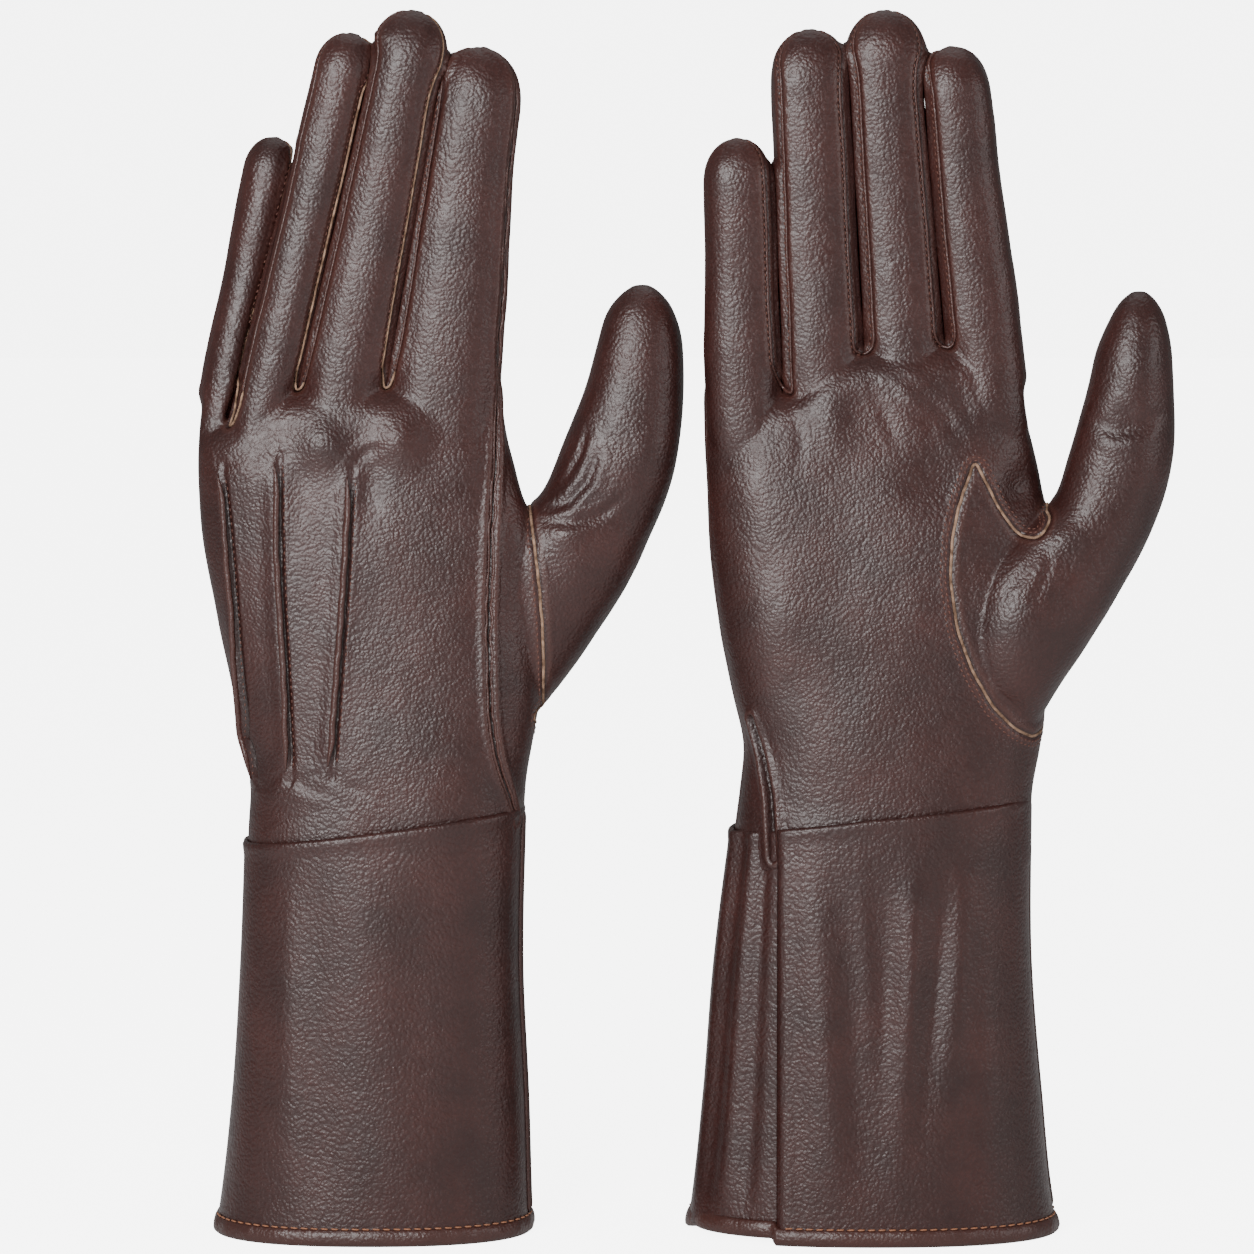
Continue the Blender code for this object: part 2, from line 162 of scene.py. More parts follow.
def hairsheepLeather(name, grainSize):
    # hairsheep skin, drum dyed and plated: pebbled grain, painted shade darkening the seams, rolled edges lighter with
    # rubbed wear and painted highlight, low sheen
    made, tree, shader = newMaterial(name, {"IOR": 1.5, "Specular IOR Level": 0.45, "Coat Weight": 0.06,
                                            "Coat Roughness": 0.35})
    place = node(tree, "ShaderNodeTexCoord").outputs["Object"]
    drift = node(tree, "ShaderNodeTexNoise", {}, {"Vector": place, "Scale": 1 / (leatherSetup["wrinkle"] * mm), "Detail": 2.0})
    shifted = node(tree, "ShaderNodeVectorMath", {"operation": "MULTIPLY_ADD"},
                   {0: drift.outputs["Color"], 1: (1.3 * mm, 1.3 * mm, 1.3 * mm), 2: place})
    grain = node(tree, "ShaderNodeTexVoronoi", {"feature": "SMOOTH_F1"},
                 {"Vector": shifted.outputs[0], "Scale": 1 / (grainSize * mm), "Smoothness": 0.35})
    fine = node(tree, "ShaderNodeTexNoise", {}, {"Vector": place, "Scale": 1 / (0.9 * mm), "Detail": 3.0, "Roughness": 0.6})
    broad = node(tree, "ShaderNodeTexNoise", {}, {"Vector": place, "Scale": 1 / (6 * mm), "Detail": 3.0, "Distortion": 1.5})
    mottle = node(tree, "ShaderNodeTexNoise", {}, {"Vector": place, "Scale": 1 / (leatherSetup["mottle"] * mm), "Detail": 3.0})
    dye = node(tree, "ShaderNodeValToRGB", {}, {"Fac": mottle.outputs["Fac"]})
    dye.color_ramp.elements[0].position = 0.32
    dye.color_ramp.elements[0].color = linear(leatherSetup["dark"])
    dye.color_ramp.elements[1].position = 0.70
    dye.color_ramp.elements[1].color = linear(leatherSetup["light"])
    pores = node(tree, "ShaderNodeMapRange", {}, {"Value": grain.outputs["Distance"], 1: 0.15, 2: 0.6, 3: 0.0, 4: 1.0})
    pored = node(tree, "ShaderNodeMix", {"data_type": "RGBA", "blend_type": "MIX"},
                 {6: dye.outputs["Color"], 7: linear(leatherSetup["deep"])})
    poreShare = node(tree, "ShaderNodeMath", {"operation": "MULTIPLY"}, {0: pores.outputs[0], 1: 0.30})
    tree.links.new(poreShare.outputs[0], pored.inputs[0])
    mark = node(tree, "ShaderNodeAttribute", {"attribute_name": "shade"})
    # rubbed wear and painted highlight: lighter where the shade mark rises above half
    wearAndHighlight = node(tree, "ShaderNodeMix", {"data_type": "RGBA"}, {6: pored.outputs[2], 7: linear(leatherSetup["wearAndHighlight"])})
    wearAndHighlightShare = node(tree, "ShaderNodeMapRange", {}, {"Value": mark.outputs["Fac"], 1: 0.5, 2: 1.0, 3: 0.0, 4: 1.0})
    tree.links.new(wearAndHighlightShare.outputs[0], wearAndHighlight.inputs[0])
    # painted shade: the seams drawn darker where the shade mark falls below half
    seamed = node(tree, "ShaderNodeMix", {"data_type": "RGBA"}, {6: wearAndHighlight.outputs[2], 7: linear(leatherSetup["deep"])})
    seamShare = node(tree, "ShaderNodeMapRange", {}, {"Value": mark.outputs["Fac"], 1: 0.5, 2: 0.0, 3: 0.0, 4: 0.9})
    tree.links.new(seamShare.outputs[0], seamed.inputs[0])
    tree.links.new(seamed.outputs[2], shader.inputs["Base Color"])
    rough = node(tree, "ShaderNodeMapRange", {}, {"Value": broad.outputs["Fac"], 1: 0.3, 2: 0.7, 3: 0.35, 4: 0.44})
    tree.links.new(rough.outputs[0], shader.inputs["Roughness"])
    height = node(tree, "ShaderNodeMath", {"operation": "MULTIPLY_ADD"}, {0: grain.outputs["Distance"], 1: -1.0})
    lower = node(tree, "ShaderNodeMath", {"operation": "MULTIPLY_ADD"}, {0: fine.outputs["Fac"], 1: 0.45})
    wide = node(tree, "ShaderNodeMath", {"operation": "MULTIPLY"}, {0: broad.outputs["Fac"], 1: 0.7})
    tree.links.new(wide.outputs[0], lower.inputs[2])
    tree.links.new(lower.outputs[0], height.inputs[2])
    relief = node(tree, "ShaderNodeBump", {}, {"Height": height.outputs[0], "Strength": 0.9, "Distance": 0.17 * mm})
    tree.links.new(relief.outputs[0], shader.inputs["Normal"])
    return made


def rawEdgeLeather():
    # the cut edge of the same skin: undyed fibre, tan, matt
    made, tree, shader = newMaterial("rawEdgeLeather", {"Roughness": 0.85, "IOR": 1.45})
    place = node(tree, "ShaderNodeTexCoord").outputs["Object"]
    fibre = node(tree, "ShaderNodeTexNoise", {}, {"Vector": place, "Scale": 1 / (2.2 * mm), "Detail": 4.0})
    ramp = node(tree, "ShaderNodeValToRGB", {}, {"Fac": fibre.outputs["Fac"]})
    ramp.color_ramp.elements[0].position = 0.35
    ramp.color_ramp.elements[0].color = linear("58402f")
    ramp.color_ramp.elements[1].position = 0.68
    ramp.color_ramp.elements[1].color = linear("9c7d68")
    tree.links.new(ramp.outputs[0], shader.inputs["Base Color"])
    return made


def plyThread(name, colour):
    # two-ply sewing thread, waxed, a little darker between its stitches
    made, tree, shader = newMaterial(name, {"Roughness": 0.6, "IOR": 1.5})
    place = node(tree, "ShaderNodeTexCoord").outputs["Object"]
    ply = node(tree, "ShaderNodeTexNoise", {}, {"Vector": place, "Scale": 1 / (0.7 * mm), "Detail": 1.0})
    ramp = node(tree, "ShaderNodeValToRGB", {}, {"Fac": ply.outputs["Fac"]})
    ramp.color_ramp.elements[0].color = tuple(c * 0.45 for c in linear(colour)[:3]) + (1,)
    ramp.color_ramp.elements[1].color = linear(colour)
    tree.links.new(ramp.outputs[0], shader.inputs["Base Color"])
    return made


def brushedLining():
    # brushed wool-mix lining, brown, matt
    made, tree, shader = newMaterial("brushedLining", {"Roughness": 0.95, "IOR": 1.45})
    place = node(tree, "ShaderNodeTexCoord").outputs["Object"]
    nap = node(tree, "ShaderNodeTexNoise", {}, {"Vector": place, "Scale": 1 / (1.2 * mm), "Detail": 3.0})
    ramp = node(tree, "ShaderNodeValToRGB", {}, {"Fac": nap.outputs["Fac"]})
    ramp.color_ramp.elements[0].color = linear("2a1a17")
    ramp.color_ramp.elements[1].color = linear("4a302a")
    tree.links.new(ramp.outputs[0], shader.inputs["Base Color"])
    return made


leather = hairsheepLeather("hairsheepLeather", leatherSetup["grain"])
cuffLeather = hairsheepLeather("cuffLeather", leatherSetup["grain"] * 1.1)
rawEdge = rawEdgeLeather()
brownThread = plyThread("brownThread", "6b4034")
tanThread = plyThread("tanThread", "a06a4c")
lining = brushedLining()
print("materials")


# small tools for shapes

def smoothTable(at, values, where):
    # cubic through the table's points
    at, values = np.asarray(at, float), np.asarray(values, float)
    slope = np.gradient(values, at)
    where = np.clip(np.asarray(where, float), at[0], at[-1])
    i = np.clip(np.searchsorted(at, where, side="right") - 1, 0, len(at) - 2)
    step = at[i + 1] - at[i]
    t = (where - at[i]) / step
    return ((2 * t**3 - 3 * t**2 + 1) * values[i] + (t**3 - 2 * t**2 + t) * step * slope[i]
            + (3 * t**2 - 2 * t**3) * values[i + 1] + (t**3 - t**2) * step * slope[i + 1])


def ease(low, high, x):
    t = np.clip((np.asarray(x, float) - low) / (high - low), 0, 1)
    return t * t * (3 - 2 * t)


def hump(x, width):
    return np.exp(-(np.asarray(x, float) / width) ** 2)


def softNoise(points, size, seed):
    # one number a point, about -1 to 1, in soft lumps of that size
    q = np.asarray(points, float) / size + 100.0
    cell = np.floor(q).astype(np.int64)
    f = q - cell
    f = f * f * (3 - 2 * f)
    total = np.zeros(len(q))
    for corner in range(8):
        d = np.array([corner & 1, corner >> 1 & 1, corner >> 2 & 1])
        k = cell + d
        h = (k[:, 0] * 73856093 ^ k[:, 1] * 19349663 ^ k[:, 2] * 83492791 ^ seed * 2654435761) & 0x7FFFFFFF
        h = (h * 1103515245 + 12345) & 0x7FFFFFFF
        total += np.prod(np.where(d == 1, f, 1 - f), axis=1) * ((h >> 8) % 4096 / 2048.0 - 1)
    return total


def spacedPath(path, count=None, step=None):
    # the path's points moved to even spacing
    path = np.asarray(path, float)
    far = np.concatenate([[0], np.cumsum(np.linalg.norm(np.diff(path, axis=0), axis=1))])
    n = count or max(3, int(round(far[-1] / step)) + 1)
    want = np.linspace(0, far[-1], n)
    return np.stack([np.interp(want, far, path[:, i]) for i in range(3)], 1)


def softPath(path, rounds=2):
    path = np.array(path, float)
    for _ in range(rounds):
        path[1:-1] = path[1:-1] * 0.5 + (path[:-2] + path[2:]) * 0.25
    return path


def gridFaces(rows, columns, loop=False):
    i, j = np.meshgrid(np.arange(rows - 1), np.arange(columns if loop else columns - 1), indexing="ij")
    k = (j + 1) % columns
    return np.stack([i * columns + j, i * columns + k, (i + 1) * columns + k, (i + 1) * columns + j], -1).reshape(-1, 4)


def quickMesh(name, points, quads):
    mesh = bpy.data.meshes.new(name)
    quads = np.asarray(quads, np.int32)
    mesh.vertices.add(len(points))
    mesh.vertices.foreach_set("co", np.asarray(points, np.float32).ravel())
    mesh.loops.add(quads.size)
    mesh.loops.foreach_set("vertex_index", quads.ravel())
    mesh.polygons.add(len(quads))
    mesh.polygons.foreach_set("loop_start", np.arange(0, quads.size, quads.shape[1], dtype=np.int32))
    mesh.update(calc_edges=True)
    mesh.validate()
    return mesh


def addPiece(name, mesh):
    obj = bpy.data.objects.new(name, mesh)
    bpy.context.scene.collection.objects.link(obj)
    return obj


def onlyThis(obj):
    bpy.ops.object.select_all(action="DESELECT")
    obj.select_set(True)
    bpy.context.view_layer.objects.active = obj


def closedLoft(name, rings):
    # rings of equal count, pinched to a point at each end
    rings = np.asarray(rings, float)
    n, m = rings.shape[:2]
    points = np.concatenate([rings.reshape(-1, 3), [rings[0].mean(0)], [rings[-1].mean(0)]])
    faces = [tuple(f) for f in gridFaces(n, m, True)]
    for j in range(m):
        k = (j + 1) % m
        faces.append((k, j, n * m))
        faces.append(((n - 1) * m + j, (n - 1) * m + k, n * m + 1))
    mesh = bpy.data.meshes.new(name)
    mesh.from_pydata([tuple(p) for p in points], [], faces)
    mesh.update()
    return mesh


# the two gloves' measures in millimetres: x to the thumb, y to the palm, z up the fingers

bendSlope = 0.13
bendBackDrop = 0.28
bendDepth = 9.0
thumbBendIn = np.array((44.5, 14.5, 199.5))
thumbBendUp = np.array((0.366, 0.0, 0.931))

leftGlove = {
    "name": "left",
    "palm": 1,
    "at": -83.1,
    "bendAt": 238.0,
    "seam": ((-38.0, 106.8), (38.0, 116.4)),
    "cuff": {
        "z": (0, 5, 37, 72, 118),
        "ulnar": (-45.8, -45.0, -41.2, -38.8, -36.9),
        "thumb": (40.3, 40.1, 39.2, 37.7, 38.6),
        "deep": (27.5, 27.2, 25.5, 24.0, 22.4),
    },
    "fold": (-31.5, -30.0),
    "hand": {
        "z": (98, 110, 123, 141, 168, 190, 208, 220, 232),
        "ulnar": (-36.2, -36.0, -35.3, -38.7, -44.0, -47.9, -49.2, -48.5, -46.9),
        "thumb": (38.0, 38.4, 39.3, 42.2, 42.2, 41.0, 36.2, 33.6, 32.8),
        "back": (20.8, 20.4, 19.4, 17.8, 16.0, 14.6, 12.8, 11.2, 10.0),
        "palm": (20.8, 20.6, 20.0, 19.4, 18.4, 16.2, 13.4, 11.2, 10.0),
    },
    "crotches": ((-41.1, 219.2), (-22.5, 228.8), (1.4, 229.3)),
    "tucked": 0.2,            # of the room wanting between the little and ring fingers, the share the ring gives up
    "top": {"x": (-50, -41.1, -32, -22.5, -10, 1.4, 20, 31), "z": (219, 221, 227, 230, 231.5, 230.5, 232, 231)},
    "sideSeam": {"z": (104, 115, 120.5, 130, 141, 152, 182, 212, 236), "x": (38.0, 36.4, 34.8, 32.0, 30.2, 29.7, 29.8, 31.2, 31.8)},
    "points": (((-43.0, 206.8), (-40.8, 180.0), (-38.4, 150.0), (-36.2, 124.0)),
               ((-28.0, 209.8), (-27.6, 180.0), (-26.0, 150.0), (-25.0, 127.5)),
               ((-8.5, 206.5), (-10.0, 180.0), (-12.2, 150.0), (-13.7, 129.0))),
    "fingers": {
        "pinky": {"base": (-40.4, 5.0), "tip": (-27.8, 8.2, 296.6), "wide": (15.2, 14.2), "thick": (16.0, 13.4)},
        "ring": {"base": (-29.6, -0.6), "tip": (-6.4, 0.8, 324.5), "wide": (18.0, 16.8), "thick": (17.6, 15.4)},
        "middle": {"base": (-9.4, -1.2), "tip": (10.2, -1.4, 330.6), "wide": (24.6, 21.4), "thick": (18.4, 16.4)},
        "index": {"base": (17.6, -0.4), "tip": (27.5, 0.6, 320.8), "wide": (30.2, 23.6), "thick": (18.2, 16.2)},
    },
    "thumb": (  # inner x z, outer x z, middle depth, half thickness
        (30, 141, 41, 139.8, 5, 7), (22, 151, 48.8, 149, 6, 12), (19, 166, 58, 162, 6, 14), (24, 182, 66.8, 176, 5, 14),
        (35, 193, 73.2, 189.6, 4.4, 12.8), (43.6, 201.5, 78.6, 203.5, 4, 12), (49.4, 215, 81.0, 217, 4.4, 11.4),
        (54.9, 229, 82.0, 231, 4.8, 10.8), (58.4, 241.5, 81.4, 243, 5, 9.8), (61.0, 249.6, 79.0, 250.4, 5, 7.8),
        (64.4, 254.4, 75.6, 255.0, 5, 5.0), (68.2, 257.2, 72.4, 257.3, 5, 2.0)),
    "split": 41.0,
    "pleat": ((-35.0, 138.0), (-33.0, 128.0), (-31.0, 118.0), (-30.2, 100.0)),
    "thumbBack": ((40.6, 195.5), (41.6, 188.0), (42.6, 179.5), (43.6, 168.0), (44.1, 157.5), (44.0, 148.0), (43.6, 140.0)),
}

rightGlove = {
    "name": "right",
    "palm": -1,
    "at": 53.9,
    "bendAt": 241.0,
    "seam": ((-38.0, 110.5), (40.0, 119.2)),
    "cuff": {
        "z": (0, 5, 37, 72, 121),
        "ulnar": (-54.0, -53.3, -49.9, -47.2, -41.2),
        "thumb": (46.9, 45.9, 42.2, 39.2, 38.8),
        "deep": (28.5, 28.2, 26.0, 24.2, 22.6),
    },
    "fold": (-31.0, -31.0),
    "hand": {
        "z": (100, 110, 120, 133, 147, 174, 201, 212, 222, 236),
        "ulnar": (-41.0, -41.0, -39.8, -38.8, -41.8, -46.6, -48.7, -49.3, -49.6, -49.6),
        "thumb": (39.0, 39.2, 39.4, 41.6, 43.2, 43.6, 41.8, 39.4, 36.9, 35.4),
        "back": (20.8, 20.6, 19.8, 19.0, 17.8, 16.0, 14.0, 12.4, 11.2, 10.2),
        "palm": (20.8, 20.8, 20.2, 19.8, 19.2, 18.2, 15.4, 13.4, 11.4, 10.2),
    },
    "crotches": ((-26.0, 228.2), (-6.3, 238.9), (16.4, 240.5)),
    "tucked": 0.5,
    "top": {"x": (-50, -38, -26, -16, -6.3, 5, 16.4, 28, 36), "z": (229, 230, 229.5, 237, 240, 241, 241.5, 242, 241)},
    "sideSeam": {"z": (107, 117, 124, 132, 145, 155, 212, 248), "x": (39.0, 38.4, 37.0, 35.6, 33.0, 32.0, 31.8, 33.0)},
    "points": (((-41.5, 206.0), (-39.5, 180.0), (-36.5, 150.0), (-33.0, 127.0)),
               ((-26.0, 210.0), (-25.4, 180.0), (-24.0, 150.0), (-22.5, 129.0)),
               ((-6.5, 206.5), (-8.0, 180.0), (-10.0, 150.0), (-11.2, 130.0))),
    "fingers": {
        "pinky": {"base": (-39.0, 2.4), "tip": (-41.2, 4.2, 296.6), "wide": (20.6, 17.8), "thick": (16.2, 13.8)},
        "ring": {"base": (-18.0, 0.2), "tip": (-21.8, 0.6, 325.6), "wide": (23.4, 21.2), "thick": (17.8, 15.8)},
        "middle": {"base": (4.2, -0.8), "tip": (-1.9, -0.6, 330.8), "wide": (23.0, 22.6), "thick": (18.2, 16.4)},
        "index": {"base": (25.2, -0.2), "tip": (15.4, 0.6, 320.6), "wide": (21.4, 19.6), "thick": (18.0, 16.2)},
    },
    "thumb": (
        (30, 141, 41.0, 140.6, 5, 7), (22, 151, 46.8, 150.6, 6, 12), (19, 166, 55.0, 163, 6, 14), (24, 182, 63.7, 177.4, 5, 14),
        (34, 191.4, 70.0, 189.2, 4.4, 12.8), (44.0, 199.6, 74.6, 202.2, 4, 12), (48.6, 213, 76.6, 214.4, 4.4, 11.4),
        (52.6, 228, 76.4, 229, 4.8, 10.8), (55.2, 239.6, 75.6, 240.6, 5, 9.8), (58.8, 248.0, 74.0, 248.6, 5, 7.8),
        (61.6, 253.0, 71.4, 253.4, 5, 5.0), (64.8, 256.0, 68.6, 256.1, 5, 2.0)),
    "split": 43.5,
    "pleat": ((-37.0, 141.0), (-34.0, 131.0), (-32.0, 120.0), (-31.2, 104.0)),
    "thumbBack": ((42.6, 197.0), (43.0, 188.0), (43.4, 179.5), (44.0, 168.0), (44.2, 157.5), (44.0, 148.0), (43.6, 140.0)),
}
thumbPalm = ((42.0, 137.4), (39.0, 135.9), (33.6, 138.8), (27.6, 145.0), (22.0, 154.8), (17.9, 165.8), (15.9, 179.5),
             (16.5, 190.4), (18.8, 201.0), (22.7, 211.0), (25.2, 206.0), (29.4, 198.4), (33.0, 192.4), (35.6, 190.3),
             (39.4, 190.0), (41.6, 192.0), (43.0, 195.6))
fingerNames = ("pinky", "ring", "middle", "index")
sidesJoined = {"pinky": (1,), "ring": (-1, 1), "middle": (-1, 1), "index": (-1,)}   # +1 towards the thumb
skinSetup = {
    "voxel": 0.6,
    "power": 2.45,            # 2 is an ellipse
    "closed": 0.36,           # between two fingers at the end
    "open": 1.95,             # between them while the skin is run together
    "frontSeam": 42,          # degrees up from a finger's side to its front seam
    "backSeam": 33,
    "recess": 0.5,            # of the fourchettes, mm
}


def toWorld(glove, points):
    return (np.array(points, float).reshape(-1, 3) * (1, glove["palm"], 1) + (glove["at"], 0, 0)) * mm


def superOval(angle, power=skinSetup["power"]):
    c, s = np.cos(angle), np.sin(angle)
    return np.copysign(abs(c) ** (2 / power), c), np.copysign(abs(s) ** (2 / power), s)


def bendZ(glove, x, y):
    return glove["bendAt"] + bendSlope * x + bendBackDrop * (y - bendDepth)


def fingerFrame(glove, name):
    f = glove["fingers"][name]
    base = np.array([f["base"][0], f["base"][1], bendZ(glove, *f["base"])])
    tip = np.array(f["tip"])
    length = float(np.linalg.norm(tip - base))
    axis = (tip - base) / length
    across = np.array([axis[2], 0, -axis[0]]) / math.hypot(axis[2], axis[0])
    return base, axis, across, np.cross(axis, across), length


def fingerSize(glove, name, s):
    # half width and half thickness at a share of the length, rounding over at the tip
    f = glove["fingers"][name]
    length = fingerFrame(glove, name)[4]
    s = np.asarray(s, float)
    roundAt = 1 - 0.66 * f["wide"][1] / length
    w = f["wide"][0] + (f["wide"][1] - f["wide"][0]) * ease(-0.1, 0.9, s)
    t = f["thick"][0] + (f["thick"][1] - f["thick"][0]) * np.clip(s, -0.3, 1)
    swell = 0.35 * np.sin(np.clip(s, 0, 1) * 9.4 + 0.6)
    over = np.clip((s - roundAt) / (1 - roundAt), 0, 1)
    k = np.clip(1 - over**2.1, 0, 1) ** (1 / 2.1)
    return (w / 2 + swell * 0.4) * k, (t / 2 + swell * 0.5) * k


def halfWidth(glove, name, s, side, between):
    # half width towards one side, kept clear of the neighbour there
    base, axis, across, palmward, length = fingerFrame(glove, name)
    s = np.asarray(s, float)
    w = fingerSize(glove, name, s)[0]
    if side not in sidesJoined[name]:
        return w
    other = fingerNames[fingerNames.index(name) + side]
    oBase, oAxis, oAcross, oPalm, oLength = fingerFrame(glove, other)
    here = base + np.multiply.outer(s * length, axis)
    oS = (here[..., 2] - oBase[2]) / (oAxis[2] * oLength)
    there = oBase + np.multiply.outer(oS * oLength, oAxis)
    apart = abs((there - here) @ across)
    oW = fingerSize(glove, other, np.minimum(oS, 1))[0] * (oS < 1)
    share = 0.5
    if {name, other} == {"pinky", "ring"}:
        share = glove["tucked"] if name == "ring" else 1 - glove["tucked"]
    return np.clip(np.minimum(w, w + (apart - w - oW - between) * share), 0.2, None)


def fingerPoint(glove, name, s, angle, between=skinSetup["closed"], lift=0.0):
    base, axis, across, palmward, length = fingerFrame(glove, name)
    s, angle = np.broadcast_arrays(np.asarray(s, float), np.asarray(angle, float))
    t = fingerSize(glove, name, s)[1]
    c, n = superOval(angle)
    w = np.where(c > 0, halfWidth(glove, name, s, 1, between), halfWidth(glove, name, s, -1, between))
    return (base + np.multiply.outer(s * length, axis) + np.multiply.outer((w + lift) * c, across)
            + np.multiply.outer((t + lift) * n, palmward))


def localFinger(glove, name, points):
    # across, palmward, share of the length; and the angle round the finger
    base, axis, across, palmward, length = fingerFrame(glove, name)
    d = points - base
    c, n, s = d @ across, d @ palmward, d @ axis / length
    w = np.where(c > 0, halfWidth(glove, name, np.clip(s, -1, 0.97), 1, skinSetup["closed"]),
                 halfWidth(glove, name, np.clip(s, -1, 0.97), -1, skinSetup["closed"]))
    t = fingerSize(glove, name, np.clip(s, -1, 0.97))[1]
    q = skinSetup["power"] / 2
    angle = np.arctan2(np.copysign(abs(n / t) ** q, n), np.copysign(abs(c / w) ** q, c))
    return c, n, s, angle, (abs(c) / w) ** 2 + (abs(n) / t) ** 2


def handLoft(glove):
    t = glove["hand"]
    angles = np.linspace(0, 2 * math.pi, 145)[:-1]
    rings = []
    closing = 0.93
    for v in np.concatenate([np.linspace(0, closing, 40), closing + (1 - closing) * np.sin(np.linspace(0.1, 0.98, 9) * math.pi / 2)]):
        z = np.full(len(angles), 98 + v * 130.0)
        for _ in range(6):
            left, right = smoothTable(t["z"], t["ulnar"], z), smoothTable(t["z"], t["thumb"], z)
            c, s = superOval(angles, 2.5)
            x = (left + right) / 2 + (right - left) / 2 * c
            z = t["z"][0] + v * (smoothTable(glove["top"]["x"], glove["top"]["z"], x) - t["z"][0])
        deep = np.where(s > 0, smoothTable(t["z"], t["palm"], z), smoothTable(t["z"], t["back"], z))
        k = max(0.0, 1 - (max(0, v - closing) / (1 - closing)) ** 2.2) ** (1 / 2.2)
        rings.append(np.stack([x, deep * s * k, z], 1))
    return closedLoft("hand form", rings)


def fingerLoft(glove, name):
    angles = np.linspace(0, 2 * math.pi, 73)[:-1]
    rings = []
    for s in np.concatenate([np.linspace(-0.5, 0.8, 26), np.linspace(0.82, 0.998, 16)]):
        ring = fingerPoint(glove, name, np.full(len(angles), s), angles, skinSetup["open"])
        if s < -0.2:          # the root dies away inside the hand
            middle = ring.mean(0)
            ring = middle + (ring - middle) * float(ease(-0.6, -0.2, s) * 0.4 + 0.6)
        t = glove["hand"]
        low, high = smoothTable(t["z"], t["ulnar"], ring[:, 2]), smoothTable(t["z"], t["thumb"], ring[:, 2])
        ring[:, 0] = np.where(ring[:, 2] < t["z"][-1] - 6, np.clip(ring[:, 0], low, high), ring[:, 0])
        rings.append(ring)
    return closedLoft("finger form", rings)


def thumbLoft(glove):
    rows = np.array(glove["thumb"], float)
    angles = np.linspace(0, 2 * math.pi, 73)[:-1]
    far = np.linspace(0, len(rows) - 1, 64)
    columns = [smoothTable(np.arange(len(rows)), rows[:, i], far) for i in range(6)]
    rings = []
    for innerX, innerZ, outerX, outerZ, y, half in zip(*columns):
        inner, outer = np.array([innerX, y, innerZ]), np.array([outerX, y, outerZ])
        c, s = superOval(angles, 2.2)
        rings.append((inner + outer) / 2 + np.multiply.outer(c, (outer - inner) / 2) + np.multiply.outer(s * half, [0, 1, 0]))
    return closedLoft("thumb form", rings)


def gloveForm(glove):
    # the forms run together into one skin by a voxel remesh, then eased; in mm / 1000 about the glove's own frame
    parts = [addPiece("form", handLoft(glove)), addPiece("form", thumbLoft(glove))]
    parts += [addPiece("form", fingerLoft(glove, name)) for name in fingerNames]
    bpy.ops.object.select_all(action="DESELECT")
    for obj in parts:
        obj.select_set(True)
    bpy.context.view_layer.objects.active = parts[0]
    bpy.ops.object.join()
    form = parts[0]
    form.data.transform(((mm, 0, 0, 0), (0, mm, 0, 0), (0, 0, mm, 0), (0, 0, 0, 1)))
    remesh = form.modifiers.new("skin", "REMESH")
    remesh.mode = "VOXEL"
    remesh.voxel_size = skinSetup["voxel"] * mm
    soften = form.modifiers.new("ease", "SMOOTH")
    soften.factor = 0.5
    soften.iterations = 16
    onlyThis(form)
    bpy.ops.object.modifier_apply(modifier="skin")
    bpy.ops.object.modifier_apply(modifier="ease")
    points = np.zeros(len(form.data.vertices) * 3, np.float32)
    form.data.vertices.foreach_get("co", points)
    corners = np.zeros(len(form.data.loops), np.int32)
    form.data.loops.foreach_get("vertex_index", corners)
    mesh = form.data
    bpy.data.objects.remove(form)
    bpy.data.meshes.remove(mesh)
    return points.reshape(-1, 3).astype(float) / mm, corners.reshape(-1, 4)


def normalsFor(points, quads):
    a, b = points[quads[:, 2]] - points[quads[:, 0]], points[quads[:, 3]] - points[quads[:, 1]]
    face = np.cross(a, b)
    out = np.zeros_like(points)
    for k in range(4):
        np.add.at(out, quads[:, k], face)
    return out / np.maximum(np.linalg.norm(out, axis=1, keepdims=True), 1e-12)


def nearestSkin(tree, points):
    spots, normals = [], []
    for p in points:
        spot, normal, _, _ = tree.find_nearest(Vector(p))
        spots.append(spot[:])
        normals.append(normal[:])
    return np.array(spots), np.array(normals)


def castSkin(tree, xz, side):
    # points on the skin seen from the palm (+1) or from the back (-1)
    out = []
    for x, z in xz:
        hit = tree.ray_cast(Vector((x, side * 60, z)), Vector((0, -side, 0)))
        out.append(hit[0][:] if hit[0] else tree.find_nearest(Vector((x, side * 6, z)))[0][:])
    return np.array(out)


# seams, as paths on the skin

def seamAngle(side, face, s):
    # angle round the finger of the seam on that side and face, closing over the tip
    rise = math.radians(skinSetup["frontSeam"] if face > 0 else skinSetup["backSeam"])
    rise = rise * (1 - 0.6 * (1 - ease(0.0, 0.16, 1 - s)))
    return np.where(side > 0, face * rise, face * (math.pi - rise))


def fingerSeam(glove, name, side, face, low=0.04):
    s = np.concatenate([1 - np.geomspace(0.004, 0.2, 24), np.linspace(0.78, low, 34)])
    return fingerPoint(glove, name, s, seamAngle(side, face, s))


def crotchSeams(glove, tree):
    # for each gap and face, one path from a fingertip down round the crotch and up to the next fingertip
    out = []
    for i, (x, z) in enumerate(glove["crotches"]):
        for face in (1, -1):
            down = fingerSeam(glove, fingerNames[i], 1, face)
            up = fingerSeam(glove, fingerNames[i + 1], -1, face)[::-1]
            a, b = down[-1], up[0]
            turn = []
            for t in np.linspace(0, 1, 15)[1:-1]:
                u = 2 * t - 1
                px = x + (a[0] - x) * (-u) ** 0.8 if u < 0 else x + (b[0] - x) * u ** 0.8
                pz = z + ((a[2] if u < 0 else b[2]) - z) * abs(u) ** 1.7
                turn.append((px, pz))
            turn = castSkin(tree, turn, face)
            path = softPath(spacedPath(np.concatenate([down, turn, up]), step=0.8), 4)
            out.append({"gap": i, "face": face, "path": path})
    return out


